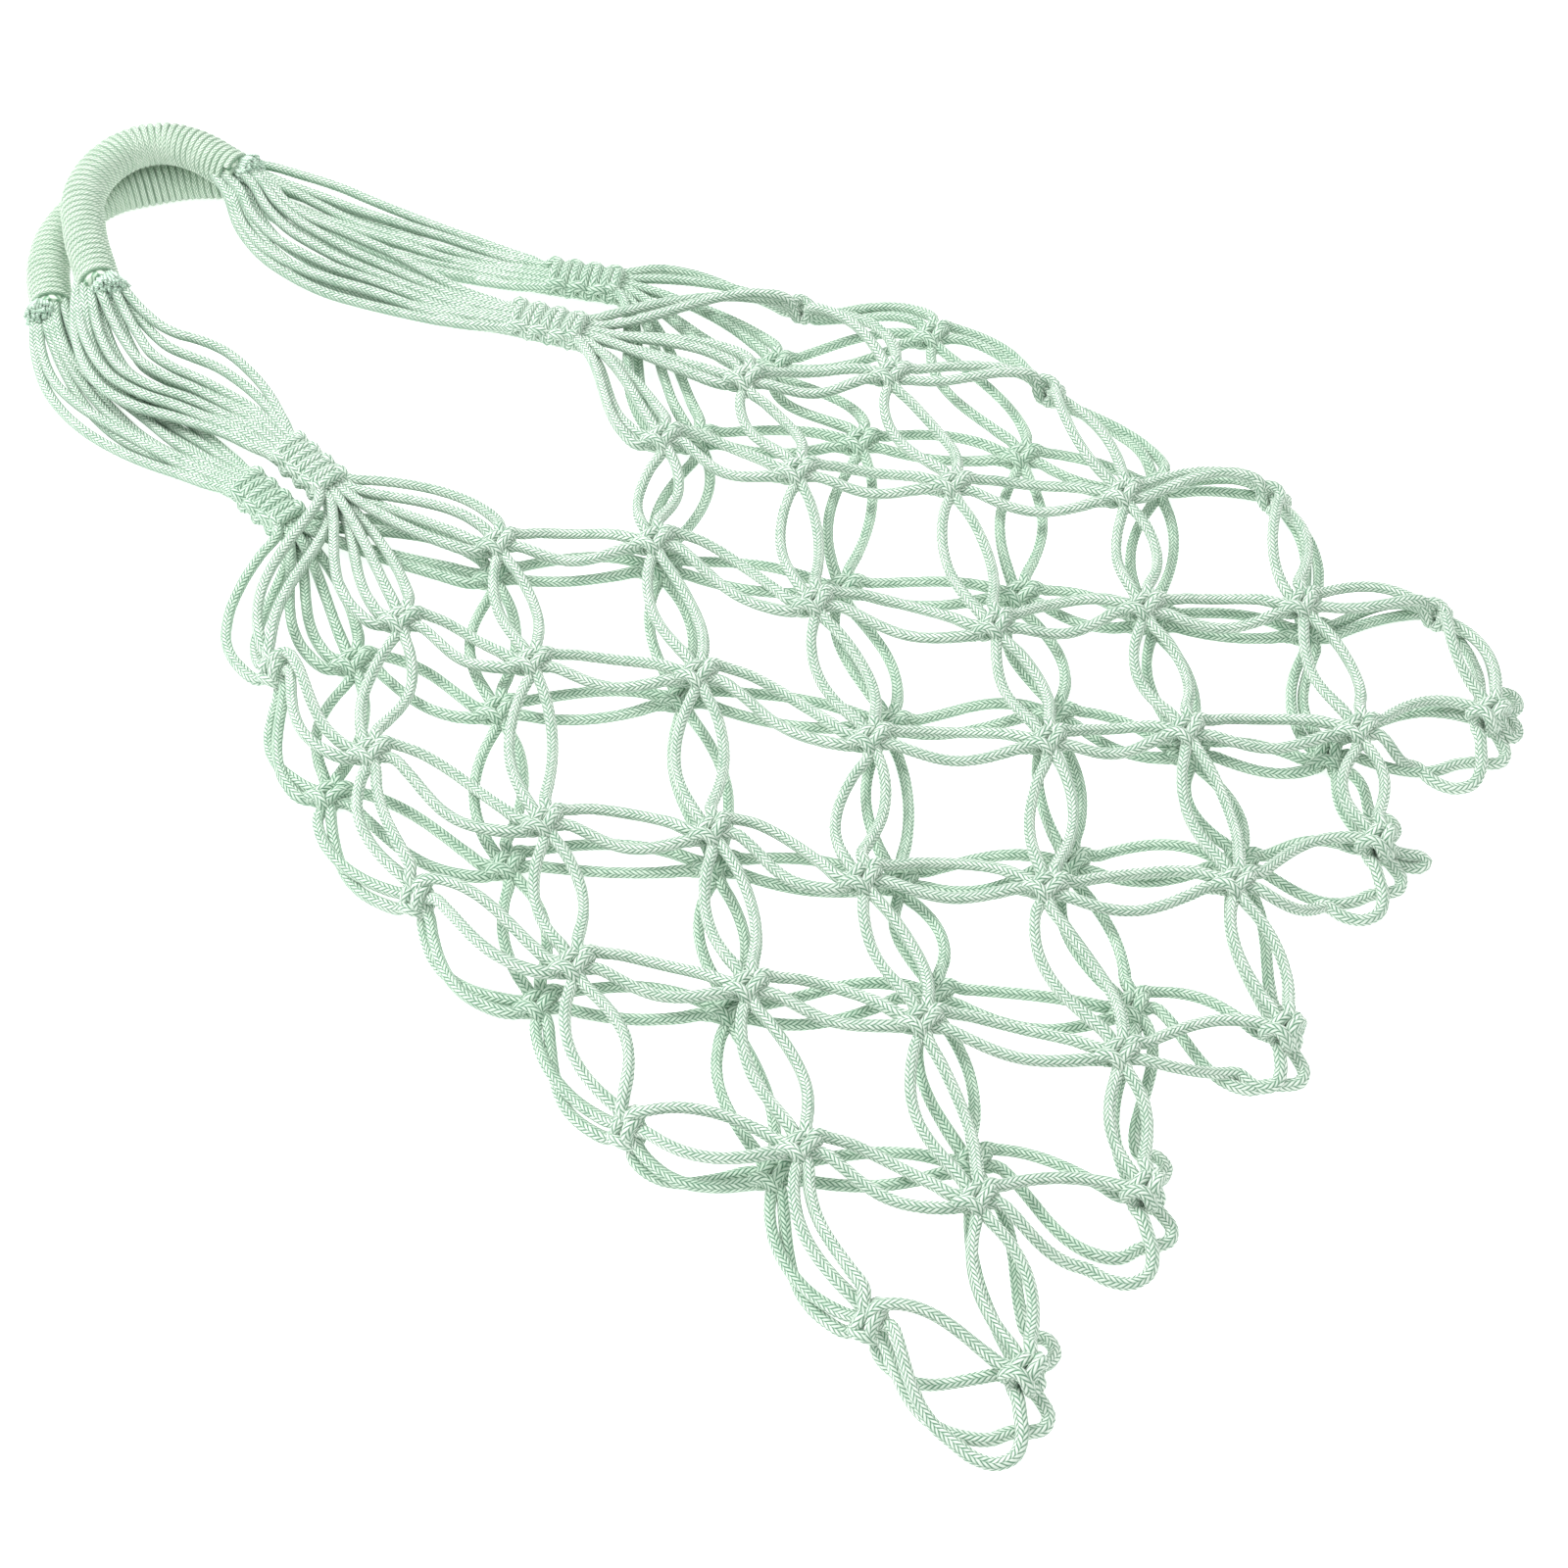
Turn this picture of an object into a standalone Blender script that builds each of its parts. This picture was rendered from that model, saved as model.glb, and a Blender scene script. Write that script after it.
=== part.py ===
"""Mesh produce bag: a knotted net of braided cord with two wound grips, lying flat in two layers.

The bag's axis runs along Y with the grips at +Y, and the bag rests on the plane z = 0.
Rounds of square knots are linked by pairs of cords, so the net is a tube that is closed at the bottom.
"""
import math
from collections import namedtuple

import bmesh
import bpy
from mathutils import Vector

# Driving dimensions, in metres
# A cord is a square bar, BAR_W wide, with about the section of the real round cord of 4 mm
BAR_W = 0.0035
CLEARANCE = 0.0003
KNOT_R = 0.0085
KNOT_T = 0.0085
LAYER_GAP = 0.0045
FOLD_KNOT_R = 0.0075
BOTTOM_KNOT_R = 0.0085
NET_LENGTH = 0.355
NET_HALF_WIDTH = 0.190
EYE_SPLAY = 1.0
MOUTH_Y = 0.056
HUB_W = 0.020
HUB_L = 0.003
HUB_T = 0.006
FAN_TURN = 0.008
FAN_DETOUR = 0.016
GATHER_W = 0.0165
GATHER_T = 0.013
GATHER_WAIST = 0.0022
FRONT_RISE = 0.006
HANDLE_LENGTH = 0.285
BUNDLE_D = 0.0125
BUNDLE_W = 0.022
BUNDLE_T = 0.009
GRIP_D = 0.0185
CORD_COLOUR = (0.55, 0.74, 0.60, 1.0)
GRIP_COLOUR = (0.60, 0.76, 0.63, 1.0)

# Counts that the weave fixes
PORTS = 8
STRANDS_PER_FAN = 10
GATHER_KNOTS = 3
BUNDLE_LOBES = 7
BUNDLE_STATIONS = 9
GRIP_STATIONS = 17
GRIP_SIDES = 12
GATHER_SIDES = 10

# How deep the grooves of a bundle are, how it spreads between its ends, and how a front one sinks
LOBE_DEPTH = 0.12
SPREAD_POWER = 0.7
SINK_POWER = 0.6
# Faces that bend more than this are split, so that every face is flat
FLAT_ENOUGH = math.radians(0.02)

# Places that follow from the sizes
BACK_Z = KNOT_T / 2
FRONT_Z = KNOT_T + LAYER_GAP + KNOT_T / 2
BAR_HALF = BAR_W / 2
FOLD_LOW = BACK_Z - BAR_HALF
FOLD_HIGH = FRONT_Z + BAR_HALF

# One row for each round of knots, from the mouth down. "down" is a share of the net's length.
# "front" and "back" are the knots' places across, as shares of the half width, left to right.
# The lifts are shares of the mean spacing of the rounds. The front row has the fold knots too.
Round = namedtuple("Round", "down front front_lift back back_lift")
ROUNDS = (
    Round(0.000, (-0.74, -0.50, -0.22, 0.23, 0.48, 0.75), (0.36, -0.04, 0.04, -0.02, 0.00, 0.36),
          (-0.61, -0.25, 0.32, 0.60), (0.06, -0.02, -0.06, 0.12)),
    Round(0.130, (-0.77, -0.39, 0.01, 0.36, 0.71), (0.04, -0.14, 0.12, -0.12, 0.12),
          (-0.87, -0.49, 0.01, 0.56, 0.91), (0.10, -0.16, 0.04, -0.08, 0.37)),
    Round(0.287, (-0.92, -0.65, -0.18, 0.12, 0.56, 0.94), (-0.02, -0.24, 0.00, -0.10, 0.02, 0.28),
          (-0.74, -0.21, 0.23, 0.77), (-0.20, 0.06, 0.00, 0.00)),
    Round(0.459, (-0.84, -0.44, -0.06, 0.33, 0.79), (-0.12, 0.06, -0.14, -0.02, 0.22),
          (-0.92, -0.46, 0.03, 0.47, 0.91), (-0.06, -0.06, 0.00, 0.20, 0.22)),
    Round(0.594, (-1.00, -0.65, -0.32, 0.18, 0.58, 1.03), (-0.36, -0.16, -0.06, -0.12, 0.26, 0.37),
          (-0.68, -0.24, 0.28, 0.61), (-0.10, -0.14, 0.14, 0.24)),
    Round(0.735, (-0.83, -0.48, -0.09, 0.39, 0.81), (-0.36, -0.22, -0.04, 0.22, 0.43),
          (-0.88, -0.39, 0.02, 0.40, 0.81), (-0.28, 0.00, 0.10, 0.18, 0.32)),
    Round(0.885, (-0.98, -0.69, -0.28, 0.17, 0.63, 1.01), (-0.51, -0.41, -0.30, 0.10, 0.39, 0.75),
          (-0.61, -0.15, 0.25, 0.58), (-0.10, 0.00, 0.30, 0.49)),
    Round(1.000, (-0.87, -0.45, -0.01, 0.46, 0.87), (-0.67, -0.30, -0.12, 0.47, 0.65), (), ()),
)
BOTTOM = len(ROUNDS) - 1
ROUND_PITCH = NET_LENGTH / BOTTOM

# Each gather runs from "top" to "end": shares of the half width across and of the handle's length up
Gather = namedtuple("Gather", "top end")
GATHERS = {
    "front_left": Gather((-0.335, 0.365), (-0.342, 0.256)),
    "front_right": Gather((0.280, 0.340), (0.350, 0.246)),
    "back_left": Gather((-0.447, 0.372), (-0.453, 0.260)),
    "back_right": Gather((0.453, 0.382), (0.531, 0.302)),
}

# Routes in the same shares; "rise" is a share of one grip's thickness above the back grip's middle
GRIP_ROUTES = {
    "front": ((-0.320, 0.800, 0.80), (-0.250, 0.890, 0.88), (-0.180, 0.950, 0.97), (-0.080, 0.980, 1.03),
              (0.000, 0.978, 1.03), (0.055, 0.955, 1.03), (0.090, 0.908, 1.03), (0.105, 0.842, 1.00)),
    "back": ((-0.395, 0.860, 0.00), (-0.330, 0.923, 0.00), (-0.250, 0.968, 0.00), (-0.160, 0.990, 0.00),
             (-0.075, 0.990, 0.00), (0.010, 0.965, 0.00), (0.090, 0.932, 0.00), (0.147, 0.895, 0.00)),
}
BUNDLE_ROUTES = {
    "front_left": ((-0.380, 0.720), (-0.412, 0.630), (-0.370, 0.545), (-0.340, 0.460)),
    "front_right": ((0.075, 0.720), (0.100, 0.607), (0.153, 0.516), (0.205, 0.425)),
    "back_left": ((-0.470, 0.740), (-0.487, 0.628), (-0.474, 0.523), (-0.455, 0.446)),
    "back_right": ((0.232, 0.786), (0.270, 0.677), (0.322, 0.579), (0.388, 0.477)),
}

# A knot's outline has eight side faces. A pair of cords leaves on both sides of one of its corners.
# A cord's end has a section ring, and "turn" is how much the cord leans there away from its chord.
Knot = namedtuple("Knot", "x y radius rings")
End = namedtuple("End", "middle ring height turn")
CORNERS = {"up_right": 1, "up_left": 3, "down_left": 5, "down_right": 7}


def corner(knot, index):
    """Place of one corner of a knot's outline."""
    angle = 2 * math.pi * index / PORTS
    return Vector((knot.x + knot.radius * math.cos(angle), knot.y + knot.radius * math.sin(angle)))


def port_middle(knot, port):
    """Middle of one side face, and the direction that the face looks in."""
    middle = (corner(knot, port) + corner(knot, port + 1)) / 2
    return middle, (middle - Vector((knot.x, knot.y))).normalized()


def corner_toward(knot, other):
    """Corner of the outline that points best at another place."""
    angle = math.atan2(other.y - knot.y, other.x - knot.x)
    return round(angle * PORTS / (2 * math.pi)) % PORTS


def knot_place(row, slot, layer):
    """Place of a knot across and along the bag."""
    table = ROUNDS[row]
    across = table.front if layer == "front" else table.back
    lift = table.front_lift if layer == "front" else table.back_lift
    y = MOUTH_Y - table.down * NET_LENGTH + lift[slot] * ROUND_PITCH
    return across[slot] * NET_HALF_WIDTH, y


def has_folds(row):
    """The rounds at even places have a knot on each side fold."""
    return row % 2 == 0


def knot_places(layer):
    """All knots of one layer by (row, column); column 0 is the bag's middle and 5 a fold."""
    places = {}
    for row in range(len(ROUNDS)):
        shared = row == BOTTOM
        columns = range(-5, 6, 2) if has_folds(row) else range(-4, 5, 2)
        for slot, column in enumerate(columns):
            on_fold = abs(column) == 5
            source = "front" if layer == "front" or shared or on_fold else "back"
            index = slot
            if source == "back" and has_folds(row):
                index = slot - 1
            x, y = knot_place(row, index, source)
            radius = BOTTOM_KNOT_R if shared else FOLD_KNOT_R if on_fold else KNOT_R
            places[row, column] = Knot(x, y, radius, None)
    return places


def is_shared(row, column):
    """Knots on the folds and the bottom edge join both layers and are pieces of their own."""
    return row == BOTTOM or abs(column) == 5


def add_block(bm, knot, heights):
    """Rings of corners for a knot, one ring at each height."""
    rings = []
    for height in heights:
        corners = [corner(knot, index) for index in range(PORTS)]
        rings.append([bm.verts.new((place.x, place.y, height)) for place in corners])
    return knot._replace(rings=rings)


def close_block(bm, knot, used):
    """Top, bottom and the side faces of a knot that no cord leaves from."""
    bm.faces.new(knot.rings[0])
    bm.faces.new(knot.rings[-1])
    for level in range(len(knot.rings) - 1):
        low, high = knot.rings[level], knot.rings[level + 1]
        for port in range(PORTS):
            if (level, port) not in used:
                after = (port + 1) % PORTS
                bm.faces.new((low[port], low[after], high[after], high[port]))


def port_ring(knot, level, port, leaving):
    """Corners of a side face in the order left low, right low, right high, left high along the cord."""
    after = (port + 1) % PORTS
    left, right = (after, port) if leaving else (port, after)
    low, high = knot.rings[level], knot.rings[level + 1]
    return [low[left], low[right], high[right], high[left]]


def cord_ring(bm, middle, direction, height):
    """Square cross-section of a cord, in the same order as port_ring."""
    side = Vector((-direction.y, direction.x)) * BAR_HALF
    left, right = middle + side, middle - side
    corners = ((left, -BAR_HALF), (right, -BAR_HALF), (right, BAR_HALF), (left, BAR_HALF))
    return [bm.verts.new((place.x, place.y, height + rise)) for place, rise in corners]


def add_wall(bm, ring_a, ring_b):
    """Four side faces between two cross-sections."""
    for index in range(4):
        after = (index + 1) % 4
        bm.faces.new((ring_a[index], ring_a[after], ring_b[after], ring_b[index]))


def add_cord(bm, start, end):
    """Cord between two ends. The sections a third of the way in lean by each end's own turn."""
    chord = end.middle - start.middle
    along = chord.normalized()
    previous = start.ring
    for near, sign, share in ((start, 1, 1 / 3), (end, -1, 2 / 3)):
        lead = (along * sign + near.turn).normalized() * chord.length / 3
        height = start.height + (end.height - start.height) * share
        ring = cord_ring(bm, near.middle + lead, along, height)
        add_wall(bm, previous, ring)
        previous = ring
    add_wall(bm, previous, end.ring)


def fused_end(knot, level, port, height, leaving):
    """End of a cord that grows out of a knot of the same piece."""
    middle, outward = port_middle(knot, port)
    return End(middle, port_ring(knot, level, port, leaving), height, outward * EYE_SPLAY)


def free_end(bm, knot, port, height):
    """Closed end of a cord that stops just short of a knot of another piece."""
    middle, outward = port_middle(knot, port)
    middle = middle + outward * CLEARANCE
    ring = cord_ring(bm, middle, -outward, height)
    bm.faces.new(ring)
    return End(middle, ring, height, outward * EYE_SPLAY)


def add_pair(bm, knot_a, corner_a, used_a, knot_b, corner_b, used_b, level, height):
    """Two cords that bow apart between two knots. A knot without rings belongs to another piece."""
    ports = ((corner_a % PORTS, (corner_b - 1) % PORTS), ((corner_a - 1) % PORTS, corner_b % PORTS))
    for port_a, port_b in ports:
        start = fused_end(knot_a, level, port_a, height, True)
        used_a.add((level, port_a))
        if knot_b.rings is None:
            end = free_end(bm, knot_b, port_b, height)
        else:
            end = fused_end(knot_b, level, port_b, height, False)
            used_b.add((level, port_b))
        add_cord(bm, start, end)


def finish_piece(bm, name, colour):
    """Object of one closed piece with its own material."""
    bmesh.ops.connect_verts_nonplanar(bm, angle_limit=FLAT_ENOUGH, faces=bm.faces)
    bmesh.ops.recalc_face_normals(bm, faces=bm.faces)
    mesh = bpy.data.meshes.new(name)
    bm.to_mesh(mesh)
    bm.free()
    material = bpy.data.materials.new(name)
    material.use_nodes = True
    shader = material.node_tree.nodes["Principled BSDF"]
    shader.inputs["Base Color"].default_value = colour
    shader.inputs["Roughness"].default_value = 0.9
    shader.inputs["Metallic"].default_value = 0.0
    mesh.materials.append(material)
    piece = bpy.data.objects.new(name, mesh)
    bpy.context.collection.objects.link(piece)
    return piece


def build_layer(layer):
    """One layer of the net: its own knots, and their pairs of cords down to the next round."""
    bm = bmesh.new()
    middle_z = FRONT_Z if layer == "front" else BACK_Z
    heights = (middle_z - KNOT_T / 2, middle_z + KNOT_T / 2)
    knots = knot_places(layer)
    for (row, column), knot in knots.items():
        if not is_shared(row, column):
            knots[row, column] = add_block(bm, knot, heights)
    used = {key: set() for key in knots}
    for (row, column), knot in knots.items():
        for step, corner_a, corner_b in ((-1, CORNERS["down_left"], CORNERS["up_right"]),
                                         (1, CORNERS["down_right"], CORNERS["up_left"])):
            below = (row + 1, column + step)
            if below not in knots or (is_shared(row, column) and is_shared(*below)):
                continue
            upper, lower = knot, knots[below]
            if is_shared(*below):
                corner_b = corner_toward(lower, upper)
            if is_shared(row, column):
                corner_a = corner_toward(upper, lower)
                add_pair(bm, lower, corner_b, used[below], upper, corner_a, None, 0, middle_z)
            else:
                add_pair(bm, upper, corner_a, used[row, column], lower, corner_b, used[below], 0, middle_z)
    for key, knot in knots.items():
        if knot.rings is not None:
            close_block(bm, knot, used[key])
    return finish_piece(bm, f"net_{layer}", CORD_COLOUR)


def build_fold_knots():
    """The knots on the side folds stand on edge, as thick as both layers of cord."""
    knots = knot_places("front")
    pieces = []
    for side, column in (("left", -5), ("right", 5)):
        rows = [row for row in range(BOTTOM) if has_folds(row)]
        for number, row in enumerate(rows, start=1):
            bm = bmesh.new()
            knot = add_block(bm, knots[row, column], (FOLD_LOW, FOLD_HIGH))
            close_block(bm, knot, set())
            pieces.append(finish_piece(bm, f"fold_knot_{side}_{number}", CORD_COLOUR))
    return pieces


def build_bottom_knots():
    """The knots of the bottom edge; the outer two also carry the pairs from the last fold knots."""
    knots = knot_places("front")
    heights = (FOLD_LOW, BACK_Z + BAR_HALF, FRONT_Z - BAR_HALF, FOLD_HIGH)
    pieces = []
    for number, column in enumerate(range(-4, 5, 2), start=1):
        bm = bmesh.new()
        outer = abs(column) == 4
        knot = add_block(bm, knots[BOTTOM, column], heights if outer else (FOLD_LOW, FOLD_HIGH))
        used = set()
        if outer:
            fold = knots[BOTTOM - 1, 5 if column > 0 else -5]
            corner_a, corner_b = corner_toward(knot, fold), corner_toward(fold, knot)
            for level, height in ((0, BACK_Z), (2, FRONT_Z)):
                add_pair(bm, knot, corner_a, used, fold, corner_b, None, level, height)
        close_block(bm, knot, used)
        pieces.append(finish_piece(bm, f"bottom_knot_{number}", CORD_COLOUR))
    return pieces


def gather_axis(name):
    """Both ends of a gather; the front ones lie higher because they cross over the back fans."""
    row = GATHERS[name]
    z = GATHER_T / 2 + (FRONT_RISE if name.startswith("front") else 0.0)
    ends = []
    for across, up in (row.top, row.end):
        ends.append(Vector((across * NET_HALF_WIDTH, MOUTH_Y + up * HANDLE_LENGTH, z)))
    return ends


def fan_bend(knot, port, hub):
    """Where a fan's cord bends into a side face: further out, the more the face looks away from the hub."""
    middle, outward = port_middle(knot, port)
    away = max(0.0, -outward.dot((hub - middle).normalized()))
    return middle + outward * (FAN_TURN + FAN_DETOUR * away)


def build_fan(name):
    """Ten cords that spread from a gather: four to each near knot of the first round, two to a fold."""
    layer, side = name.split("_")
    net_z = FRONT_Z if layer == "front" else BACK_Z
    top, end = gather_axis(name)
    direction = (end - top).to_2d().normalized()
    left = Vector((-direction.y, direction.x))
    knots = knot_places(layer)
    sign = -1 if side == "left" else 1
    bm = bmesh.new()
    near = end.to_2d() + direction * CLEARANCE
    far = near + direction * HUB_L
    z_low, z_high = end.z - HUB_T / 2, end.z + HUB_T / 2

    def hub_corner(base, share, height):
        place = base + left * HUB_W * (0.5 - share)
        return bm.verts.new((place.x, place.y, height))

    shares = [index / STRANDS_PER_FAN for index in range(STRANDS_PER_FAN + 1)]
    low = [hub_corner(far, share, z_low) for share in shares]
    high = [hub_corner(far, share, z_high) for share in shares]
    back_low = [hub_corner(near, share, z_low) for share in (0, 1)]
    back_high = [hub_corner(near, share, z_high) for share in (0, 1)]
    bm.faces.new([back_low[1], back_low[0]] + low)
    bm.faces.new([back_high[1], back_high[0]] + high)
    bm.faces.new((back_low[0], back_low[1], back_high[1], back_high[0]))
    bm.faces.new((back_low[0], low[0], high[0], back_high[0]))
    bm.faces.new((back_low[1], low[-1], high[-1], back_high[1]))

    fold = knots[0, sign * 5]
    toward = corner_toward(fold, Knot(end.x, end.y, 0, None))
    targets = [(knots[0, sign * column], port) for column in (1, 3) for port in range(PORTS // 2)]
    targets += [(fold, toward % PORTS), (fold, (toward - 1) % PORTS)]

    def turn(target):
        offset = fan_bend(*target, far) - far
        return math.atan2(offset.dot(left), offset.dot(direction))

    targets.sort(key=turn, reverse=True)
    for slot, (knot, port) in enumerate(targets):
        ring = [low[slot], low[slot + 1], high[slot + 1], high[slot]]
        middle = far + left * HUB_W * (0.5 - (slot + 0.5) / STRANDS_PER_FAN)
        bend = fan_bend(knot, port, far)
        tip = free_end(bm, knot, port, net_z)
        along = (bend - middle).normalized() + (tip.middle - bend).normalized()
        bend_ring = cord_ring(bm, bend, along.normalized(), net_z)
        add_wall(bm, ring, bend_ring)
        add_wall(bm, bend_ring, tip.ring)
    return finish_piece(bm, f"fan_{name}", CORD_COLOUR)


def smooth_route(points, before, after, count):
    """Even samples of the smooth curve through the points: (place, direction) at each sample."""
    chain = [before] + points + [after]
    spans = len(points) - 1
    samples = []
    for index in range(count):
        share = index / (count - 1) * spans
        span = min(int(share), spans - 1)
        t = share - span
        a, b, c, d = chain[span:span + 4]
        place = ((2 * b) + (c - a) * t + (2 * a - 5 * b + 4 * c - d) * t ** 2
                 + (3 * b - a - 3 * c + d) * t ** 3) / 2
        slope = ((c - a) + 2 * (2 * a - 5 * b + 4 * c - d) * t + 3 * (3 * b - a - 3 * c + d) * t ** 2) / 2
        samples.append((place, slope.normalized()))
    return samples


def add_sweep(bm, stations, sides, lobes, lobe_depth):
    """Closed tube through stations of (place, direction, half width, half thickness)."""
    rings = []
    for place, direction, half_w, half_t in stations:
        across = Vector((0, 0, 1)).cross(direction).normalized()
        up = direction.cross(across)
        ring = []
        for index in range(sides):
            angle = 2 * math.pi * (index + 0.5) / sides
            reach = 1 + lobe_depth * math.cos(lobes * angle)
            offset = across * half_w * math.cos(angle) + up * half_t * math.sin(angle)
            ring.append(bm.verts.new(place + offset * reach / (1 + lobe_depth)))
        rings.append(ring)
    for ring_a, ring_b in zip(rings, rings[1:]):
        for index in range(sides):
            after = (index + 1) % sides
            bm.faces.new((ring_a[index], ring_a[after], ring_b[after], ring_b[index]))
    bm.faces.new(rings[0])
    bm.faces.new(rings[-1])


def build_gather(name):
    """Three tight square knots round ten cords, with a waist between them."""
    top, end = gather_axis(name)
    direction = (end - top).normalized()
    steps = 2 * GATHER_KNOTS
    bm = bmesh.new()
    stations = []
    for index in range(steps + 1):
        waist = GATHER_WAIST if index % 2 == 0 else 0.0
        place = top + (end - top) * index / steps
        stations.append((place, direction, GATHER_W / 2 - waist, GATHER_T / 2 - waist / 2))
    add_sweep(bm, stations, GATHER_SIDES, 1, 0.0)
    return finish_piece(bm, f"gather_{name}", CORD_COLOUR)


def grip_route(layer):
    """Places that a grip's middle line passes through."""
    places = []
    for across, up, rise in GRIP_ROUTES[layer]:
        z = GRIP_D / 2 + rise * (GRIP_D + CLEARANCE)
        places.append(Vector((across * NET_HALF_WIDTH, MOUTH_Y + up * HANDLE_LENGTH, z)))
    return places


def grip_samples(layer):
    """Smooth middle line of a grip, from its left end to its right end."""
    route = grip_route(layer)
    before = 2 * route[0] - route[1]
    after = 2 * route[-1] - route[-2]
    return smooth_route(route, before, after, GRIP_STATIONS)


def build_grip(layer):
    """Bent round grip: a core of cords wound with cord from end to end."""
    bm = bmesh.new()
    stations = [(place, direction, GRIP_D / 2, GRIP_D / 2) for place, direction in grip_samples(layer)]
    add_sweep(bm, stations, GRIP_SIDES, 1, 0.0)
    return finish_piece(bm, f"grip_{layer}", GRIP_COLOUR)


def build_bundle(name):
    """Ten cords side by side from a grip's end to a gather, spread flat between them."""
    layer, side = name.split("_")
    samples = grip_samples(layer)
    grip_end, inward = samples[0] if side == "left" else (samples[-1][0], -samples[-1][1])
    top, end = gather_axis(name)
    axis = (end - top).normalized()
    start = grip_end - inward * CLEARANCE
    finish = top - axis * CLEARANCE
    points = [start]
    route = BUNDLE_ROUTES[name]
    for index, (across, up) in enumerate(route):
        share = (index + 1) / (len(route) + 1)
        z = BUNDLE_T / 2 + CLEARANCE
        if layer == "front":
            z = start.z + (finish.z - start.z) * share ** SINK_POWER
        points.append(Vector((across * NET_HALF_WIDTH, MOUTH_Y + up * HANDLE_LENGTH, z)))
    points.append(finish)
    reach = (points[1] - start).length
    samples = smooth_route(points, start + inward * reach, finish + axis * reach, BUNDLE_STATIONS)
    samples[0] = (start, -inward)
    samples[-1] = (finish, axis)
    stations = []
    for index, (place, direction) in enumerate(samples):
        flat = math.sin(math.pi * index / (len(samples) - 1)) ** SPREAD_POWER
        half_w = (BUNDLE_D + (BUNDLE_W - BUNDLE_D) * flat) / 2
        half_t = (BUNDLE_D + (BUNDLE_T - BUNDLE_D) * flat) / 2
        stations.append((place, direction, half_w, half_t))
    bm = bmesh.new()
    add_sweep(bm, stations, 2 * BUNDLE_LOBES, BUNDLE_LOBES, LOBE_DEPTH)
    return finish_piece(bm, f"strands_{name}", CORD_COLOUR)


def rest_on_origin(pieces):
    """Parent all pieces to one empty, placed so that the middle of the bag's underside is the origin."""
    places = [piece.matrix_world @ vertex.co for piece in pieces for vertex in piece.data.vertices]
    middle_x = (min(place.x for place in places) + max(place.x for place in places)) / 2
    middle_y = (min(place.y for place in places) + max(place.y for place in places)) / 2
    bag = bpy.data.objects.new("bag_middle", None)
    bpy.context.collection.objects.link(bag)
    bag.location = (-middle_x, -middle_y, -min(place.z for place in places))
    for piece in pieces:
        piece.parent = bag


def main():
    for old in list(bpy.data.objects):
        bpy.data.objects.remove(old, do_unlink=True)
    pieces = [build_layer("front"), build_layer("back")]
    pieces += build_fold_knots()
    pieces += build_bottom_knots()
    for name in GATHERS:
        pieces += [build_fan(name), build_gather(name), build_bundle(name)]
    pieces += [build_grip("front"), build_grip("back")]
    rest_on_origin(pieces)


main()
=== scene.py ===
"""Mesh produce bag: the knotted net of braided cord with its two wound grips, lying flat.

The sections follow the bag as it is tied: the table it lies on, the wound grips, the loose strands, the
gathers, the net of square knots, the bottom edge, and last the forty cords that run through all of them.
"""

import bpy
import numpy as np
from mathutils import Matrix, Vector


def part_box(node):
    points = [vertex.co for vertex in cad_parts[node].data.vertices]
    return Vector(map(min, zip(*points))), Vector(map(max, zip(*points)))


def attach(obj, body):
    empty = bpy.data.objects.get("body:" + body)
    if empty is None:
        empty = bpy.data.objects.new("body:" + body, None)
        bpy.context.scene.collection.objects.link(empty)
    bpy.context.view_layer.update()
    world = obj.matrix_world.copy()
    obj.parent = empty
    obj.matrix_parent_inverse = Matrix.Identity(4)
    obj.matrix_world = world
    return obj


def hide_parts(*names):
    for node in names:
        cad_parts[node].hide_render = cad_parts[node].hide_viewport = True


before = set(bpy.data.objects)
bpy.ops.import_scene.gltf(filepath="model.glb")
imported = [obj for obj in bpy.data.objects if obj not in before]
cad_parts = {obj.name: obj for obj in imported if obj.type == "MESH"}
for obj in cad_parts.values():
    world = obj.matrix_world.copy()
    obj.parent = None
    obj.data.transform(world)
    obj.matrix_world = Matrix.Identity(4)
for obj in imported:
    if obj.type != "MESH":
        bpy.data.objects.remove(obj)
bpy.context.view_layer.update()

# Camera and table.
# The bag lies on a white table and is seen from above its bottom edge, turned an eighth of a turn.
# The light is soft and comes from the grips' side, so the table shows almost no shadow.
VIEW_TURN = np.radians(-45.0)
VIEW_RISE = np.radians(50.0)
VIEW_DISTANCE = 1.2775
VIEW_AIM = np.array([-0.04135, -0.09922, 0.0])
LENS = 78.75
SENSOR = 36.0

backward = np.array([np.sin(VIEW_TURN) * np.cos(VIEW_RISE), -np.cos(VIEW_TURN) * np.cos(VIEW_RISE),
                     np.sin(VIEW_RISE)])
camera_data = bpy.data.cameras.new("camera")
camera_data.lens = LENS
camera_data.sensor_width = SENSOR
camera = bpy.data.objects.new("camera", camera_data)
bpy.context.scene.collection.objects.link(camera)
camera.location = Vector(VIEW_AIM + VIEW_DISTANCE * backward)
camera.rotation_euler = Vector(-backward).to_track_quat("-Z", "Y").to_euler()
bpy.context.scene.camera = camera

TABLE_HALF = 12.0
TABLE_COLOUR = (0.93, 0.93, 0.93, 1.0)
TABLE_ROUGHNESS = 0.8
TABLE_GLOW = 0.6
WHITE = (1.0, 1.0, 1.0, 1.0)
STUDIO_STRENGTH = 0.69

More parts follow.
